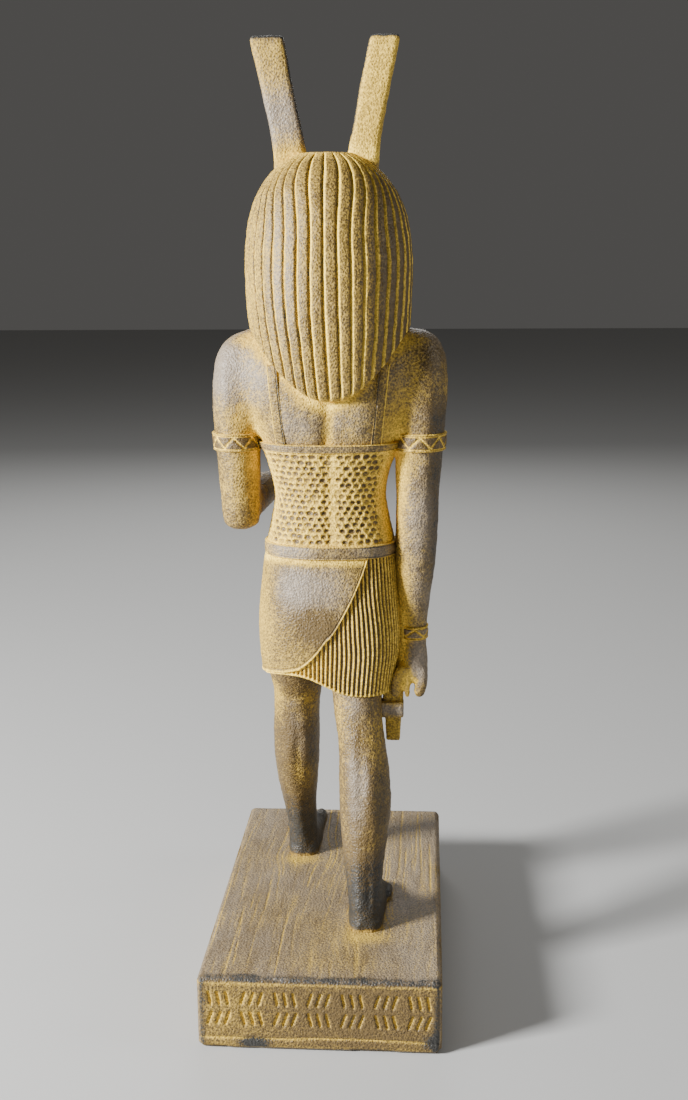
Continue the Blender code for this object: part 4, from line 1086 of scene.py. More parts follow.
def make_torso_and_arms():
    """Back, chest, shoulders and arms as one skin, with the spine's groove and the shoulder blades.

    The skin is relaxed where the arms join it. Groove, blades, chest and elbow are bells in x and z
    along the normal, as on the legs.
    """
    tubes = [
        level_tube(TORSO, 70, 96, 188.0),
        level_tube(RIGHT_ARM, 120, 56),
        level_tube(LEFT_UPPER_ARM, 90, 56),
        path_places(LEFT_FOREARM, 70, 56),
        level_tube(ARM_BRIDGE, 60, 24),
    ] + hand_tubes()
    made = fused("torso_and_arms", tubes, cell=0.80 * MM, soften=2)
    place = in_units(made)
    blend = bell(np.abs(place[:, 0]) - 29.0, 7.0) * smooth_step(196.0, 206.0, place[:, 2])
    put_vertices(made, relaxed(vertices_of(made), edges_of(made), 120, 0.6 * blend))
    place = in_units(made)
    way = normals_of(made)
    x, y, z = place.T
    behind = smooth_step(0.2, 0.9, way[:, 1]) * smooth_step(190.0, 198.0, z)
    middle = -1.6
    shift = -1.2 * behind * bell(x - middle, 2.8) * (1.0 - smooth_step(216.0, 232.0, z))
    for side in (-1, 1):
        shift = shift + behind * bell(x - middle - side * 12.5, 7.5) * bell(z - 210.0, 9.0)
    chest = smooth_step(0.3, 0.9, -way[:, 1]) * bell(z - 213.0, 12.0)
    shift = shift + chest * (0.8 * bell(np.abs(x + 0.6) - 12.0, 8.0) - 0.7 * bell(x + 0.6, 2.4))
    elbow = bell(x + 36.0, 8.0) * smooth_step(0.2, 0.8, way[:, 1])
    shift = shift + elbow * (0.5 * bell(z - 166.0, 5.0) - 0.3 * bell(x + 36.0, 2.0) * bell(z - 186.0, 12.0))
    shift = shift + grain(place, 0.28) + grain(place, 0.45, 3.5, 9)
    push_out(made, shift)
    crease = hollows(made, 14)
    dust = 0.42 + patches(place, 0.45, 12.0, 81) + 1.8 * np.clip(crease, -0.12, 0.35)
    # The strongest spots, in the armpits and down the inner side of the right arm, are dust in the creases
    # made brighter as a painted warm glow of bounced light.
    dust += spots(place, (
        ((-28.0, 18.0, 192.0), (5, 14, 16), 1.3), ((28.0, 18.0, 194.0), (5, 14, 11), 1.0),
        ((-1.6, 31.0, 214.0), (15, 8, 4), 0.55), ((-1.6, 31.0, 200.0), (3, 8, 12), 0.25),
        ((36.0, 16.0, 172.0), (12, 14, 18), 0.3), ((-30.0, 14.0, 128.0), (4, 10, 26), 0.9),
        ((36.0, 20.0, 206.0), (12, 10, 7), 0.25), ((-31.0, 8.0, 100.0), (4, 14, 12), 0.8),
        ((-28.0, 16.0, 174.0), (3, 10, 14), 0.5), ((-34.4, 16.0, 95.0), (1.3, 9, 6), 1.2)))
    below_wig = z - wig_edge(np.arctan2(x + 1.0, y - 10.0))
    dust += 0.9 * behind * bell(below_wig + 1.0, 3.6)
    # Grey spots: partly wear on high places, and painted highlights on the left shoulder, the right forearm
    # and the back of the right hand, where dust is also taken away below.
    rub_and_highlight = 0.25 + spots(place, (
        ((42.0, 14.0, 226.0), (12, 14, 13), 0.8), ((30.0, 24.0, 222.0), (10, 10, 14), 0.5),
        ((-12.0, 31.0, 206.0), (9, 8, 9), 0.5), ((11.0, 31.0, 206.0), (9, 8, 9), 0.5),
        ((-37.0, 20.0, 168.0), (5, 9, 26), 0.45), ((-35.0, 16.0, 106.0), (6, 8, 8), 0.8),
        ((-38.0, 14.0, 138.0), (6, 8, 10), 0.4), ((-40.0, 10.0, 238.0), (8, 10, 7), 0.3)))
    dust -= spots(place, (
        ((40.0, 14.0, 226.0), (12, 14, 12), 0.4), ((-35.0, 16.0, 106.0), (5, 8, 7), 0.45),
        ((-39.0, 18.0, 170.0), (6, 10, 24), 0.12), ((-38.0, 14.0, 236.0), (10, 14, 8), 0.25)))
    # Painted shade: dark stone, with less dust, on the left forearm and fist, which lie in shadow between arm
    # and body, and on the right arm's side away from the key light.
    bare_and_shade = spots(place, (
        ((-44.0, 6.0, 232.0), (6, 14, 8), 0.2), ((22.0, -46.0, 172.0), (12, 14, 14), 0.4)))
    outer = smooth_step(38.0, 43.5, -x) * (1.0 - smooth_step(206.0, 222.0, z))
    ahead = smooth_step(14.0, 36.0, -y) * (1.0 - smooth_step(200.0, 210.0, z))
    bare_and_shade += 0.55 * outer + 0.5 * ahead
    dust -= 0.25 * outer + 0.3 * ahead
    finish_piece(made, dust, rub_and_highlight, bare_and_shade)
    return made


def make_head():
    """Animal face with brow, eyes, mouth line and nostrils, and the two tall squared ears.

    The lid is a ridge exp(-((|across| - 2.3 (1 - (along / 5.2)^2)) / 0.55)^2) in the eye's own
    directions, and the eyeball a half ellipsoid. The mouth is a groove along a rising line.
    """
    tubes = [path_places(FACE, 110, 96), level_tube(LEFT_EAR, 90, 64), level_tube(RIGHT_EAR, 90, 64)]
    made = fused("face_and_ears", tubes, cell=0.64 * MM, soften=2)
    place = in_units(made)
    ear = smooth_step(302.0, 306.0, place[:, 2])
    put_vertices(made, relaxed(vertices_of(made), edges_of(made), 10, 0.6 * ear))
    place = in_units(made)
    way = normals_of(made)
    x, y, z = place.T
    side = x + 0.5
    face = (1.0 - smooth_step(-14.0, -10.0, y)) * (1.0 - smooth_step(294.0, 298.0, z))
    along = (y - EYE[0]) * EYE_SLOPE[0] + (z - EYE[1]) * EYE_SLOPE[1]
    across = (z - EYE[1]) * EYE_SLOPE[0] - (y - EYE[0]) * EYE_SLOPE[1]
    lid = np.abs(across) - 2.3 * np.clip(1.0 - (along / 5.2) ** 2, 0.0, 1.0)
    flank = smooth_step(0.25, 0.6, np.abs(way[:, 0])) * face
    shift = flank * 0.9 * bell(lid, 0.55) * bell(along, 6.8)
    eyeball = np.clip(1.0 - (along / 3.0) ** 2 - (across / 1.9) ** 2, 0.0, 1.0)
    shift = shift + flank * (0.7 * np.sqrt(eyeball) - 0.6 * bell(lid + 1.3, 0.5) * (lid < 0))
    shift = shift + flank * 0.9 * bell(across - 5.2, 0.9) * bell(along, 8.5)
    mouth = z - (246.0 + 17.0 * smooth_step(-62.0, -26.0, y))
    shift = shift - flank * 0.7 * bell(mouth, 0.55) * (1.0 - smooth_step(-34.0, -28.0, y))
    nostril = np.hypot(y - NOSTRIL[0], z - NOSTRIL[1])
    shift = shift - face * 0.8 * bell(nostril, 1.2) * bell(np.abs(side) - 4.0, 2.5)
    shift = shift + grain(place, 0.22) + grain(place, 0.35, 3.5, 9)
    push_out(made, shift)
    crease = hollows(made, 10)
    flat = smooth_step(0.5, 0.9, np.abs(way[:, 1]))
    tip = smooth_step(347.0, 349.0, z)
    dust = 0.42 + patches(place, 0.45, 10.0, 91) + 2.4 * np.clip(crease, -0.1, 0.3) * (1.0 - ear)
    dust += 0.12 * ear * flat + 0.6 * bell(z - 305.0, 4.0) - 0.3 * tip
    dust += ear * np.where(side > 0, 0.12 - 0.50 * bell(z - 322.0, 9.0), 0.62)
    rub_and_highlight = 0.3 + ear * np.where(side > 0, 0.7 * bell(z - 322.0, 12.0), -0.25)
    inward = smooth_step(0.5, 0.9, -way[:, 0] * np.sign(side))
    outward_side = smooth_step(0.5, 0.9, way[:, 0] * np.sign(side))
    bare_and_shade = ear * smooth_step(308.0, 314.0, z) * (0.75 * inward + 0.35 * outward_side)
    bare_and_shade += 0.75 * ear * smooth_step(0.5, 0.85, way[:, 2]) + 0.85 * smooth_step(348.2, 349.2, z)
    finish_piece(made, dust, rub_and_highlight, bare_and_shade)
    return made


# Wig

def wig_edge(turn):
    """Lower edge of the wig: 214.5 + 26 |sin|^2.1 behind, level in front."""
    return np.where(np.cos(turn) < 0, 240.5, 214.5 + 26.0 * np.abs(np.sin(turn)) ** 2.1)


def make_wig(sizes):
    """The fluted bell of the wig: height = edge + share * (cap - edge), and a groove every few columns.

    The columns stand at equal steps of length, and turn = even + comb * sin(2 * turn) / 2 spreads
    them to the sides at the crown and draws them together at the lower edge.
    """
    per_flute = 14
    columns = sizes.wig_flutes * per_flute
    even = even_turns(WIG, WIG_WIDEST, columns)[None, :]
    share = np.concatenate([[0.0, 0.0], 1.0 - (1.0 - np.linspace(0.0, 1.0, 100)) ** 1.2])[:, None]
    turn = np.broadcast_to(even, (len(share), columns))
    comb = 0.50 * smooth_step(0.62, 1.0, share) - 0.12 * (1.0 - smooth_step(0.0, 0.5, share))
    for _ in range(12):
        turn = even + comb * np.sin(2.0 * turn) / 2.0
    edge = wig_edge(turn)
    z = edge + (WIG_CAP - edge) * share
    rough = level_places(WIG, z, turn)
    waver = (noise(rough, 12.0, 101) - 0.5) * 0.06 + (noise(rough, 4.0, 102) - 0.5) * 0.03
    phase = np.arange(columns)[None, :] / per_flute + waver
    off = phase - np.round(phase)
    groove = 1.0 - np.where(off > 0.03, smooth_step(0.03, 0.12, off), smooth_step(0.0, 0.19, 0.03 - off))
    # Painted highlight and painted shadow: one wall of each groove is marked lit and the other shaded, as
    # light from +x would fall.
    lit = smooth_step(-0.24, -0.16, off) * (1.0 - smooth_step(-0.01, 0.04, off))
    shade = smooth_step(0.0, 0.04, off) * (1.0 - smooth_step(0.09, 0.14, off))
    crown = 1.0 - (2.0 * (0.5 - np.abs(off))) ** 2
    fade = smooth_step(0.0, 1.6, WIG_CAP - z)
    above = z - edge
    roll = 1.6 * round_off(above / 1.8)
    depth = sizes.flute_depth / unit_length()
    lift = -depth * groove * fade - 0.32 * (1.0 - crown) * fade - roll
    lift = lift + grain(rough, 0.28, 0.9, 5) + grain(rough, 0.5, 4.0, 6)
    places = level_places(WIG, z, turn, lift)
    inner = level_places(WIG, z[:1], turn[:1], 0.0)
    centre = read(WIG, z[:1])[..., :2]
    for row, (shrink, rise) in enumerate(((0.5, 3.0), (0.80, 0.6))):
        places[row, :, :2] = (centre + (inner[..., :2] - centre) * shrink)[0]
        places[row, :, 2] = z[0] + rise
    made = tube_piece("wig", places, foot=(-0.5, 10.0, 246.0), head=(-0.2, 10.0, WIG_CAP + 0.5))
    # Bright dust on the lit wall is a painted highlight over the real dust line; dark stone on the other wall
    # is a painted shadow.
    flat = with_poles(lit * fade)
    groove_shadow = with_poles(shade * fade)
    place = in_units(made)
    x, _, z = place.T
    low_edge = 1.0 - smooth_step(0.0, 2.5, with_poles(above, 9.0))
    # Less dust and more dark stone towards -x, the side away from the key light: painted shade. More dust
    # towards +x, the lit side: partly painted light.
    dust = 0.44 + 1.40 * flat + patches(place, 0.25, 10.0, 111) - 0.50 * smooth_step(14.0, 29.0, -x)
    dust += 0.15 * smooth_step(19.0, 27.0, x)
    dust += 0.35 * low_edge + 0.45 * smooth_step(303.5, 306.0, z) - 0.3 * groove_shadow
    dust += spots(place, (
        ((-30.0, 14.0, 250.0), (9, 20, 30), 0.2), ((28.0, 20.0, 250.0), (8, 16, 26), 0.15),
        ((16.0, 10.0, 304.0), (9, 10, 5), 0.7), ((-14.0, 10.0, 304.0), (9, 10, 5), 0.9)))
    # The grey spot at x 13.5 on the back is a painted highlight.
    rub_and_highlight = 0.12 - 0.5 * groove_shadow + spots(place, (
        ((13.5, 34.0, 262.0), (8, 12, 26), 0.9), ((-10.0, 38.0, 250.0), (10, 10, 20), 0.2)))
    bare_and_shade = 0.75 * groove_shadow + 0.30 * smooth_step(16.0, 30.0, -x) * (1.0 - flat)
    finish_piece(made, dust, rub_and_highlight, bare_and_shade)
    return made


def make_lappets():
    """Two falls of the wig over the chest, each a rounded slab with five grooves down its front.

    Level sections as in level_places, less 0.7 in a groove where x / 3.3 + 0.5 is a whole number.
    """
    stations = (
        (0.0, -13.6, 205.0, 7.6, 3.0, 3.0, 0.45),
        (0.0, -14.6, 220.0, 8.2, 3.3, 3.3, 0.45),
        (0.0, -13.4, 234.0, 8.6, 3.7, 3.7, 0.45),
        (0.0, -10.5, 248.0, 8.8, 4.3, 4.3, 0.45),
        (0.0, -5.0, 262.0, 8.6, 4.2, 4.2, 0.45),
    )
    z = np.linspace(stations[0][2], stations[-1][2], 80)[:, None]
    turn = np.linspace(0.0, 2 * np.pi, 140, endpoint=False)[None, :]
    for name, middle in (("left_lappet", 16.2), ("right_lappet", -17.2)):
        rough = level_places(stations, z, turn)
        phase = rough[..., 0] / 3.3 + 0.5
        groove = (1.0 - smooth_step(0.06, 0.2, np.abs(phase - np.round(phase)))) * (np.cos(turn) < 0)
        lift = -0.7 * groove + grain(rough, 0.25)
        foot = 1.2 * round_off((z - z[0]) / 1.4)
        places = level_places(stations, z, turn, lift - foot)
        places[..., 0] += middle
        made = tube_piece(name, places)
        cut = with_poles(groove)
        dust = 0.25 + 0.9 * cut + patches(in_units(made), 0.35, 9.0, 121)
        finish_piece(made, dust, 0.2 - 0.3 * cut)


# Dress

def make_corset(sizes):
    """The corset: rows of dimples under a raised net, each row half a step on from the last.

    In each cell the floor is deepest under its upper edge and rises towards its lower one:
    depth = strength * (1 - smooth step of the distance from the middle) * (0.68 + 0.32 * height in it),
    with the distance measured in an ellipse and the strength between 0.6 and 1, and each cell moved
    and sized a little by fixed noise.
    """
    per_scale = 11
    columns = sizes.scales_round * per_scale
    rows = sizes.scale_rows * 7 + 6
    turn = even_turns(TORSO, WAIST, columns)[None, :]
    z = np.linspace(CORSET_FOOT, CORSET_TOP + 0.6, rows)[:, None]
    pitch = (CORSET_TOP - CORSET_FOOT - 1.6) / sizes.scale_rows
    line = (z - CORSET_FOOT - 0.9) / pitch - 0.5
    place_round = np.arange(columns)[None, :] / per_scale
    deepest = np.zeros((rows, columns))
    for step in (-1, 0, 1):
        row = np.round(line) + step
        phase = place_round + 0.5 * np.mod(row, 2)
        for part in (-1, 0, 1):
            cell = np.round(phase) + part
            key = np.stack(np.broadcast_arrays(cell % sizes.scales_round, row, 0 * cell), axis=-1)
            key = key.astype(np.int64)
            east = (lattice_hash(key, 5) - 0.5) * 0.26
            north = (lattice_hash(key, 6) - 0.5) * 0.22
            size = 0.78 + 0.32 * lattice_hash(key, 7)
            away_east = (phase - cell - east) / 0.53
            away_north = (line - row - north) / 0.55
            away = np.hypot(away_east, away_north) / size
            strength = 0.60 + 0.40 * lattice_hash(key, 8)
            live = (row >= 0) & (row < sizes.scale_rows)
            floor = (1.0 - smooth_step(0.55, 1.0, away)) * (0.68 + 0.32 * np.clip(away_north, -1.0, 1.0))
            deepest = np.maximum(deepest, live * strength * floor)
    rough = level_places(TORSO, z, turn)
    x = rough[..., 0]
    side = np.where(x < 0, -x - 1.4, x + 1.4) / read(TORSO, z)[..., 3]
    fade = 1.0 - np.where(x < 0, smooth_step(0.78, 0.88, side), 0.7 * smooth_step(0.88, 1.0, side))
    behind = np.cos(turn) > 0
    fade = fade * (1.0 - 0.6 * bell(x + 3.2, 1.5) * behind)
    deepest = deepest * fade
    depth = sizes.scale_depth / unit_length()
    lift = 0.9 - depth * deepest - 0.8 * bell(x + 1.8, 2.8) * behind + grain(rough, 0.3)
    made = tube_piece("corset", level_places(TORSO, z, turn, lift))
    pit = with_poles(deepest)
    place = in_units(made)
    # Dust lies on the net, and the dimples keep the stone's own colour; the lowered grey in each dimple and
    # the dark stone in the deepest part are painted shade.
    dust = 1.30 - 1.35 * smooth_step(0.12, 0.70, pit) + patches(place, 0.35, 8.0, 131)
    dust += spots(place, (
        ((-23.0, 12.0, 180.0), (4, 12, 22), 0.25), ((21.0, 12.0, 186.0), (5, 12, 10), 0.2)))
    finish_piece(made, dust, 0.15 - 0.15 * pit, 0.12 * smooth_step(0.55, 0.95, pit))
    return made


def ring_band(name, stations, foot, top, profile, columns, rows=22):
    """A band round level sections, and its marks: lift = profile(share of its height, angle).

    A ring sunk into the stone closes it above and below.
    """
    turn = 2 * np.pi * (np.arange(columns) / columns)[None, :]
    share = np.linspace(0.0, 1.0, rows)[:, None]
    z = foot + (top - foot) * share
    lift, mark = profile(share, turn)
    rough = level_places(stations, z, turn)
    places = level_places(stations, z, turn, lift + grain(rough, 0.16))
    low = level_places(stations, z[:1], turn, -BAND_GRIP)
    high = level_places(stations, z[-1:], turn, -BAND_GRIP)
    made = tube_piece(name, np.concatenate([low, places, high]))
    edge = np.ones((1, columns))
    return made, with_poles(np.concatenate([edge, np.broadcast_to(mark, (rows, columns)), edge]))


def edged(height, raised, line_at=0.16, line_depth=0.45):
    """A band's profile, the same all round: raised, with rounded rims and an incised line near each."""
    def profile(share, _turn):
        rim = np.minimum(share, 1.0 - share)
        line = bell(rim - line_at, 0.035)
        return raised - raised * 0.75 * round_off(rim / 0.09) - line_depth * line, line
    return profile


def zigzag(raised, points, depth=0.45):
    """An armlet's profile: two rims and a zigzag between them, incised, as triangles in a row.

    The zigzag's height is 0.2 + 0.6 |2 frac(points * turn / 2 pi) - 1| of the band's.
    """
    def profile(share, turn):
        rim = np.minimum(share, 1.0 - share)
        phase = turn * points / (2 * np.pi)
        wave = 0.20 + 0.60 * np.abs(2.0 * (phase - np.floor(phase)) - 1.0)
        slope = 1.0 / np.hypot(1.0, 1.25)
        cut = bell((share - wave) * slope, 0.055) * (rim > 0.12) + bell(rim - 0.14, 0.035)
        cut = np.clip(cut, 0.0, 1.0)
        return raised - raised * 0.6 * round_off(rim / 0.08) - depth * cut, cut
    return profile


def rim_distance(place, foot, top):
    """How far inside its nearer rim a band's vertex lies, as a share of the band's height."""
    return np.minimum(place[:, 2] - foot, top - place[:, 2]) / (top - foot)


def make_bands():
    """The belt, the corset's upper band, two armlets and the bracelet."""
    torso_bands = (
        ("belt", TORSO, BELT_FOOT, BELT_TOP, edged(5.8, 2.0), 360),
        ("upper_band", TORSO, CORSET_TOP, BAND_TOP, edged(3.2, 1.5, 0.2, 0.3), 360),
    )
    for name, stations, foot, top, profile, columns in torso_bands:
        made, mark = ring_band(name, stations, foot, top, profile, columns)
        place = in_units(made)
        outer = rim_distance(place, foot, top)
        dust = 0.25 + patches(place, 0.35, 8.0, 141) + 0.9 * (1.0 - smooth_step(0.04, 0.13, outer))
        # The strong dust spot at x -27 on the upper band, by the right armpit, is dust made brighter as a
        # painted warm glow.
        dust += spots(place, (
            ((27.0, 10.0, 154.0), (7, 12, 6), 0.35), ((-27.0, 10.0, 196.0), (8, 12, 6), 0.9)))
        # The grey spots on the belt behind, at x 14 and x -17, are painted highlights.
        rub_and_highlight = 0.4 + spots(place, (
            ((14.0, 24.0, 154.0), (8, 8, 6), 0.8), ((-17.0, 24.0, 153.0), (6, 8, 6), 0.3)))
        bare_and_shade = 0.42 * mark + spots(place, (((-21.0, 22.0, 154.0), (6, 8, 6), 0.45),))
        finish_piece(made, dust, rub_and_highlight, bare_and_shade)
    arm_bands = (
        ("right_armlet", RIGHT_ARM, ARMLET_FOOT, ARMLET_TOP, zigzag(1.1, 8), 220, 0.05),
        ("left_armlet", LEFT_UPPER_ARM, ARMLET_FOOT, ARMLET_TOP, zigzag(1.1, 8), 220, 0.05),
        ("right_bracelet", RIGHT_ARM, BRACELET_FOOT, BRACELET_TOP, zigzag(0.8, 4, 0.55), 160, 0.30),
    )
    for name, stations, foot, top, profile, columns, base in arm_bands:
        made, mark = ring_band(name, stations, foot, top, profile, columns, 34)
        place = in_units(made)
        # The bracelet's higher base gives it more dust and more grey than the armlets: partly painted light
        # on the wrist.
        dust = base + 1.5 * mark + patches(place, 0.4, 7.0, 151)
        dust += 1.0 - smooth_step(0.03, 0.12, rim_distance(place, foot, top))
        finish_piece(made, dust, 0.15 + base - 0.3 * mark)


def torso_reach(x, z, behind):
    """y of the torso's surface at x and z: centre +- depth * (1 - |dx / half width|^(2/s))^(s/2)."""
    row = read(TORSO, z)
    share = np.clip(np.abs(x - row[..., 0]) / row[..., 3], 0.0, 0.98)
    depth = row[..., 5] if behind else row[..., 4]
    reach = depth * (1.0 - share ** (2.0 / row[..., 6])) ** (row[..., 6] / 2.0)
    return row[..., 1] + (reach if behind else -reach)


def make_straps():
    """Four flat straps with a groove by each edge, laid on the back and the chest up to the wig.

    x = middle + half width * across, y = the torso's surface + a rounded lift less a bell by each edge.
    """
    wanted = (
        ("left_back_strap", 17.2, True, 228.0), ("right_back_strap", -19.8, True, 228.0),
        ("left_front_strap", 19.5, False, 236.0), ("right_front_strap", -20.5, False, 236.0),
    )
    for name, middle, behind, top in wanted:
        z = np.linspace(STRAP_FOOT, top, 60)[:, None]
        across = np.linspace(-1.0, 1.0, 17)[None, :]
        centre = middle * (1.0 + 0.16 * (z - STRAP_FOOT) / 30.0)
        x = centre + STRAP_HALF_WIDTH * across
        out = 1.0 if behind else -1.0
        rim = 1.0 - np.abs(across)
        lift = 0.75 * np.sqrt(np.clip(rim / 0.14, 0.0, 1.0)) - 0.35 * bell(rim - 0.30, 0.09)
        y = torso_reach(x, np.broadcast_to(z, x.shape), behind) + out * lift
        front = np.stack([x, y, np.broadcast_to(z, x.shape)], axis=-1)
        front[..., 1] += grain(front, 0.2)
        back = front[:, ::-1].copy()
        back[..., 1] = torso_reach(back[..., 0], back[..., 2], behind) - out * 2.0
        made = tube_piece(name, np.concatenate([front, back], axis=1))
        around = np.concatenate([across, across[:, ::-1]], axis=1)
        inner = np.sign(-middle) * with_poles(np.tile(around, (len(z), 1)))
        dust = 0.40 + smooth_step(0.72, 0.9, -inner) + patches(in_units(made), 0.35, 7.0, 161)
        finish_piece(made, dust, 0.2, 0.9 * bell(inner - 0.66, 0.14))


def hem_height(turn, x):
    """The hem: a tanh wave across the back, higher over the left leg, and level in front."""
    back = 98.6 + 4.9 * np.tanh((x - 1.0) / 9.0) - np.where(x > 0, 3.0 * (x / 27.0) ** 4, 0.0)
    share = smooth_step(-0.8, 0.0, np.cos(turn))
    return back * share + 98.0 * (1.0 - share)


def thigh_push(turn, z):
    """How far the stride pushes the kilt out: a bump over the left thigh in front and the right behind."""
    degrees = np.degrees(turn)
    share = 1.0 - smooth_step(108.0, 148.0, z)
    total = 0.0
    for middle, width, amount in ((146.0, 28.0, 4.2), (-33.0, 22.0, 1.6)):
        away = np.mod(degrees - middle + 180.0, 360.0) - 180.0
        total = total + amount * bell(away, width)
    return total * share


def rim_share(turn):
    """Height of the smooth panel's rim, from 0 at the hem to 1 at the belt, and 2 where there is no panel."""
    degrees = np.degrees(np.arctan2(np.sin(turn), np.cos(turn)))
    behind = read(RIM_BEHIND, degrees)[..., 0]
    ahead = np.clip((degrees - 100.0) / 66.0, 0.0, 1.0) ** 1.9
    share = np.where(degrees < 81.0, behind, ahead)
    return np.where((degrees < -34.0) | (degrees > 166.0), 2.0, share)


def make_kilt(sizes):
    """The kilt: pleats at equal steps of length, and over them a smooth panel with a curved rim.

    Rows below the rim rise to it and rows above it leave from it, so the rim runs along the grid.
    """
    per_pleat = 8
    columns = sizes.pleats * per_pleat
    turn = even_turns(KILT, KILT_WIDEST, columns)[None, :]
    foot = hem_height(turn, level_places(KILT, 100.0, turn)[..., 0])
    rim = rim_share(turn)
    has_panel = (rim < 1.5).astype(float)
    at = np.clip(np.where(has_panel > 0, rim, 0.965), 0.012, 0.965)
    height = KILT[-1][2] - foot
    below = np.linspace(0.0, 1.0, 40)[:, None] * at
    near = at + np.array((0.25, 0.5, 0.8, 1.1, 1.35, 1.6, 1.9, 2.3, 2.8))[:, None] / height
    near = np.minimum(near, 0.995)
    above = near[-1:] + (1.0 - near[-1:]) * np.linspace(0.0, 1.0, 34)[1:, None]
    share = np.concatenate([below, near, above])
    over = (share - at) * height
    z = foot + height * share
    rough = level_places(KILT, z, turn)
    waver = (noise(rough, 11.0, 171) - 0.5) * 0.30
    phase = np.arange(columns)[None, :] / per_pleat + waver
    off = np.abs(phase - np.round(phase))
    ridge = smooth_step(0.16, 0.40, off)
    pleat = sizes.pleat_depth / unit_length()
    panel = sizes.panel_raise / unit_length()
    hem = 1.0 - smooth_step(0.4, 1.1, z - foot)
    pleated = -pleat * (1.0 - ridge) * (1.0 - hem) + 0.1 * hem
    bead = 0.22 * smooth_step(0.0, 0.3, over) * (1.0 - smooth_step(1.1, 1.6, over))
    smooth = panel + bead - 0.3 * bell(over - 1.75, 0.3)
    cover = smooth_step(0.0, 0.35, over) * has_panel
    lift = pleated * (1.0 - cover) + smooth * cover
    lift = lift - 0.5 * panel * has_panel * smooth_step(120.0, 152.0, z) + thigh_push(turn, z)
    lift = lift + grain(rough, 0.25) + grain(rough, 0.4, 4.0, 7)
    places = level_places(KILT, z, turn, lift)
    under = []
    for shrink, rise in ((0.55, 2.5), (0.86, 1.0)):
        ring = places[:1].copy()
        ring[..., :2] = np.array((0.0, 7.0)) + (ring[..., :2] - np.array((0.0, 7.0))) * shrink
        ring[..., 2] += rise
        under.append(ring)
    made = tube_piece("kilt", np.concatenate(under + [places]), foot=(0.0, 7.0, 104.0))

    def spread(values):
        """Values of the grid for every vertex, with 0 on the two rings and the poles inside."""
        return with_poles(np.concatenate([np.zeros((2, columns)), np.broadcast_to(values, share.shape)]))

    place = in_units(made)
    x, _, z = place.T
    # line marks the groove under the panel's rim, which is painted with dark stone further below: a painted
    # shadow.
    cover, ridge, line = spread(cover), spread(ridge), spread(bell(over - 1.75, 0.35) * has_panel)
    band = spread(smooth_step(0.0, 0.3, over) * (1.0 - smooth_step(1.0, 1.5, over)) * has_panel)
    lower_left = smooth_step(-12.0, 14.0, x) * (1.0 - smooth_step(108.0, 124.0, z))
    # Dust on the pleats' ridges and little in their grooves, and dark stone in the grooves further below:
    # painted shade in the pleat grooves.
    pleat_dust_and_shade = 0.02 + 1.35 * ridge + 0.45 * lower_left
    panel_dust = 0.33 + patches(place, 0.35, 10.0, 181) + band + smooth_step(147.5, 150.0, z)
    panel_dust += spots(place, (
        ((27.0, 14.0, 126.0), (7, 14, 28), 0.5), ((16.0, 26.0, 108.0), (14, 10, 7), 0.2),
        ((11.0, 28.0, 138.0), (12, 10, 11), -0.3), ((3.0, 28.0, 124.0), (9, 9, 6), -0.45)))
    dust = pleat_dust_and_shade * (1.0 - cover) + panel_dust * cover + spread(hem)
    # Grey spots on the panel at x 11 and x -6 are painted highlights; the negative spots keep other places
    # from looking grey.
    rub_and_highlight = cover * (0.15 + spots(place, (
        ((11.0, 28.0, 140.0), (12, 10, 11), 0.7), ((-6.0, 28.0, 138.0), (8, 9, 12), 0.4),
        ((3.0, 28.0, 124.0), (10, 9, 7), -0.6), ((28.0, 14.0, 126.0), (8, 14, 26), -0.6))))
    bare_and_shade = 0.5 * line + 0.3 * (1.0 - cover) * (1.0 - ridge) * (1.0 - 0.7 * lower_left) * (1.0 - spread(hem))
    finish_piece(made, dust, rub_and_highlight, bare_and_shade)
    return made


def make_front_tab():
    """The tab in front of the kilt: level sections of a thin slab with pleats down its face."""
    turn = np.linspace(0.0, 2 * np.pi, 180, endpoint=False)[None, :]
    stations = (
        (-0.5, -17.8, 96.5, 7.7, 3.6, 3.6, 0.3),
        (-0.5, -15.2, 112.0, 7.3, 3.6, 3.6, 0.3),
        (-0.5, -10.4, 130.0, 6.7, 3.6, 3.6, 0.3),
        (-0.5, -7.0, 152.0, 5.9, 3.6, 3.6, 0.3),
    )
    z = np.linspace(stations[0][2], stations[-1][2], 60)[:, None]
    rough = level_places(stations, z, turn)
    row = read(stations, z)
    phase = (rough[..., 0] - row[..., 0]) / row[..., 3] * 3.5
    off = np.abs(phase - np.round(phase))
    ridge = smooth_step(0.08, 0.3, off)
    lift = -0.7 * (1.0 - ridge) * (np.cos(turn) < 0) + grain(rough, 0.22)
    made = tube_piece("front_tab", level_places(stations, z, turn, lift))
    # Dust on the ridges and little in the grooves, as on the kilt's pleats: painted shade in the grooves.
    dust = 0.15 + 0.75 * with_poles(ridge, 1.0) + patches(in_units(made), 0.3, 8.0, 191)
    finish_piece(made, dust, 0.1)


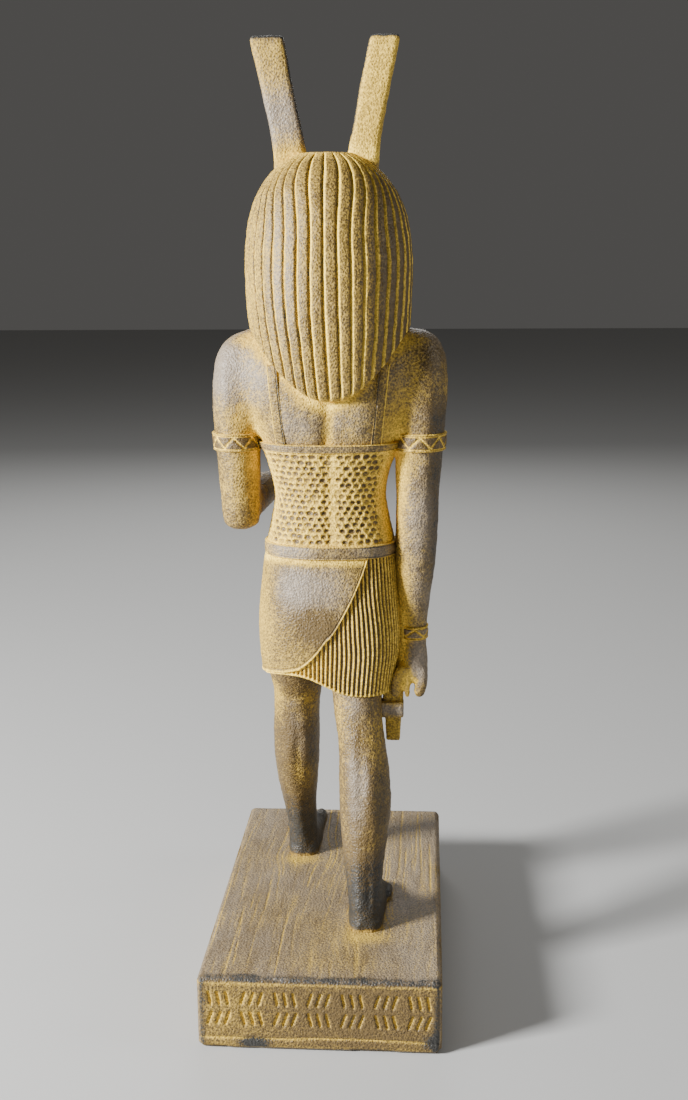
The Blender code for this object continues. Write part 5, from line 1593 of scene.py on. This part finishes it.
def make_ankh():
    """Crossbar, stem and the stone left between fist and kilt, as three rounded blocks fused into one."""
    tubes = []
    for x, y, foot, top, half, thick, flare in (
        (-25.2, 13.0, 82.5, 89.0, 5.6, 3.2, 0.0),
        (-26.5, 13.0, 72.5, 84.0, 3.4, 2.7, -0.6),
        (-26.4, 11.2, 87.0, 97.0, 4.2, 3.2, 0.0),
    ):
        stations = ((x, y, foot, half + flare, thick, thick, 0.22), (x, y, top, half, thick, thick, 0.22))
        tubes.append(level_tube(stations, 24, 80))
    made = fused("ankh", tubes, cell=0.3 * MM, soften=3)
    place = in_units(made)
    push_out(made, grain(place, 0.3))
    from_bar = place[:, 2] - ANKH_BAR
    dust = 0.75 + patches(place, 0.4, 6.0, 201) - 0.7 * bell(from_bar, 3.0)
    finish_piece(made, dust, 0.2 + 0.8 * bell(from_bar, 3.2))
    return made


# Stage

def facing(forward, roll=0.0):
    """Turn of a lamp or a camera that looks along forward: its axes are right, up and -forward.

    right = forward x UP, up = right x forward, and the roll turns these two in their own plane.
    """
    forward = forward / np.linalg.norm(forward)
    right = np.cross(forward, UP)
    right /= np.linalg.norm(right)
    up = np.cross(right, forward)
    right, up = math.cos(roll) * right + math.sin(roll) * up, -math.sin(roll) * right + math.cos(roll) * up
    return Matrix(np.stack([right, up, -forward], axis=1).tolist())


def make_stage():
    """Plain pale floor, three soft lights and the camera at the photograph's viewing angle."""
    scene = bpy.context.scene
    side = FLOOR_HALF_SIDE
    mesh = bpy.data.meshes.new("floor")
    corners = ((-side, -side, 0), (side, -side, 0), (side, side, 0), (-side, side, 0))
    mesh.from_pydata(corners, [], [(0, 1, 2, 3)])
    floor = bpy.data.objects.new("floor", mesh)
    floor.location.z = -FLOOR_DROP
    scene.collection.objects.link(floor)
    mesh.materials.append(floor_finish())
    world = bpy.data.worlds.new("soft_room")
    world.use_nodes = True
    world.node_tree.nodes["Background"].inputs["Color"].default_value = (1.0, 0.97, 0.93, 1.0)
    world.node_tree.nodes["Background"].inputs["Strength"].default_value = 0.08
    scene.world = world
    for name, place, width, power in (
        ("key", (0.95, 0.56, 0.56), 0.24, 52.0),
        ("fill", (-1.0, 0.10, 0.5), 0.35, 3.0),
        ("front", (0.1, -1.1, 0.9), 0.7, 6.0),
    ):
        light = bpy.data.lights.new(name, "AREA")
        light.size = width
        light.energy = power
        lamp = bpy.data.objects.new(name, light)
        lamp.location = place
        lamp.rotation_euler = facing(np.array(LIGHT_AIM) - np.array(place)).to_euler()
        scene.collection.objects.link(lamp)
    camera = bpy.data.cameras.new("camera")
    camera.sensor_width = SENSOR_SIDE
    camera.lens = FOCAL_PIXELS / PHOTO_LONG_SIDE * SENSOR_SIDE
    camera.clip_start = 0.01
    eye = bpy.data.objects.new("camera", camera)
    yaw, pitch, roll = (math.radians(value) for value in (CAMERA_YAW, CAMERA_PITCH, CAMERA_ROLL))
    forward = (math.sin(yaw) * math.cos(pitch), -math.cos(yaw) * math.cos(pitch), -math.sin(pitch))
    turned = facing(np.array(forward), roll).to_4x4()
    turned.translation = CAMERA_PLACE
    eye.matrix_world = turned
    scene.collection.objects.link(eye)
    scene.camera = eye


# Operators and panel

class STONE_OT_stage(bpy.types.Operator):
    """Add the floor, the lights and the camera"""

    bl_idname = "stone_figure.stage"
    bl_label = "Stage"

    def execute(self, context):
        make_stage()
        return {"FINISHED"}


class STONE_OT_plinth(bpy.types.Operator):
    """Add the block plinth with its strokes and tool marks"""

    bl_idname = "stone_figure.plinth"
    bl_label = "Plinth"

    def execute(self, context):
        make_plinth(context.scene.stone_figure_sizes)
        return {"FINISHED"}


class STONE_OT_body(bpy.types.Operator):
    """Add the legs, the torso with its arms, and the head with its ears"""

    bl_idname = "stone_figure.body"
    bl_label = "Body and Head"

    def execute(self, context):
        make_legs()
        make_torso_and_arms()
        make_head()
        return {"FINISHED"}


class STONE_OT_wig(bpy.types.Operator):
    """Add the fluted wig and its two falls in front"""

    bl_idname = "stone_figure.wig"
    bl_label = "Wig"

    def execute(self, context):
        make_wig(context.scene.stone_figure_sizes)
        make_lappets()
        return {"FINISHED"}


class STONE_OT_dress(bpy.types.Operator):
    """Add the corset, the bands and straps, the kilt and its front tab"""

    bl_idname = "stone_figure.dress"
    bl_label = "Dress"

    def execute(self, context):
        sizes = context.scene.stone_figure_sizes
        make_corset(sizes)
        make_bands()
        make_straps()
        make_kilt(sizes)
        make_front_tab()
        return {"FINISHED"}


class STONE_OT_ankh(bpy.types.Operator):
    """Add the ankh under the right fist"""

    bl_idname = "stone_figure.ankh"
    bl_label = "Ankh"

    def execute(self, context):
        make_ankh()
        return {"FINISHED"}


class STONE_PT_panel(bpy.types.Panel):
    """Lists the pieces with their sizes and colours"""

    bl_label = "Stone Figure"
    bl_idname = "STONE_PT_panel"
    bl_space_type = "VIEW_3D"
    bl_region_type = "UI"
    bl_category = "Stone Figure"

    def draw(self, context):
        for group in (context.scene.stone_figure_sizes, context.scene.stone_figure_colours):
            box = self.layout.box()
            for name in group.bl_rna.properties.keys():
                if name not in ("rna_type", "name"):
                    box.prop(group, name)
        for operator in OPERATORS:
            self.layout.operator(operator.bl_idname)


OPERATORS = (STONE_OT_stage, STONE_OT_plinth, STONE_OT_body, STONE_OT_wig, STONE_OT_dress, STONE_OT_ankh)
CLASSES = (StoneFigureSizes, StoneFigureColours) + OPERATORS + (STONE_PT_panel,)


def register():
    """Register the classes and hang the sizes and colours on the scene."""
    for kind in CLASSES:
        bpy.utils.register_class(kind)
    bpy.types.Scene.stone_figure_sizes = bpy.props.PointerProperty(type=StoneFigureSizes)
    bpy.types.Scene.stone_figure_colours = bpy.props.PointerProperty(type=StoneFigureColours)


def unregister():
    """Take the classes and the scene's values away again."""
    del bpy.types.Scene.stone_figure_colours
    del bpy.types.Scene.stone_figure_sizes
    for kind in reversed(CLASSES):
        bpy.utils.unregister_class(kind)


def main():
    """Make every piece in order."""
    register()
    bpy.ops.stone_figure.stage()
    bpy.ops.stone_figure.plinth()
    bpy.ops.stone_figure.body()
    bpy.ops.stone_figure.wig()
    bpy.ops.stone_figure.dress()
    bpy.ops.stone_figure.ankh()


if __name__ == "__main__":
    main()
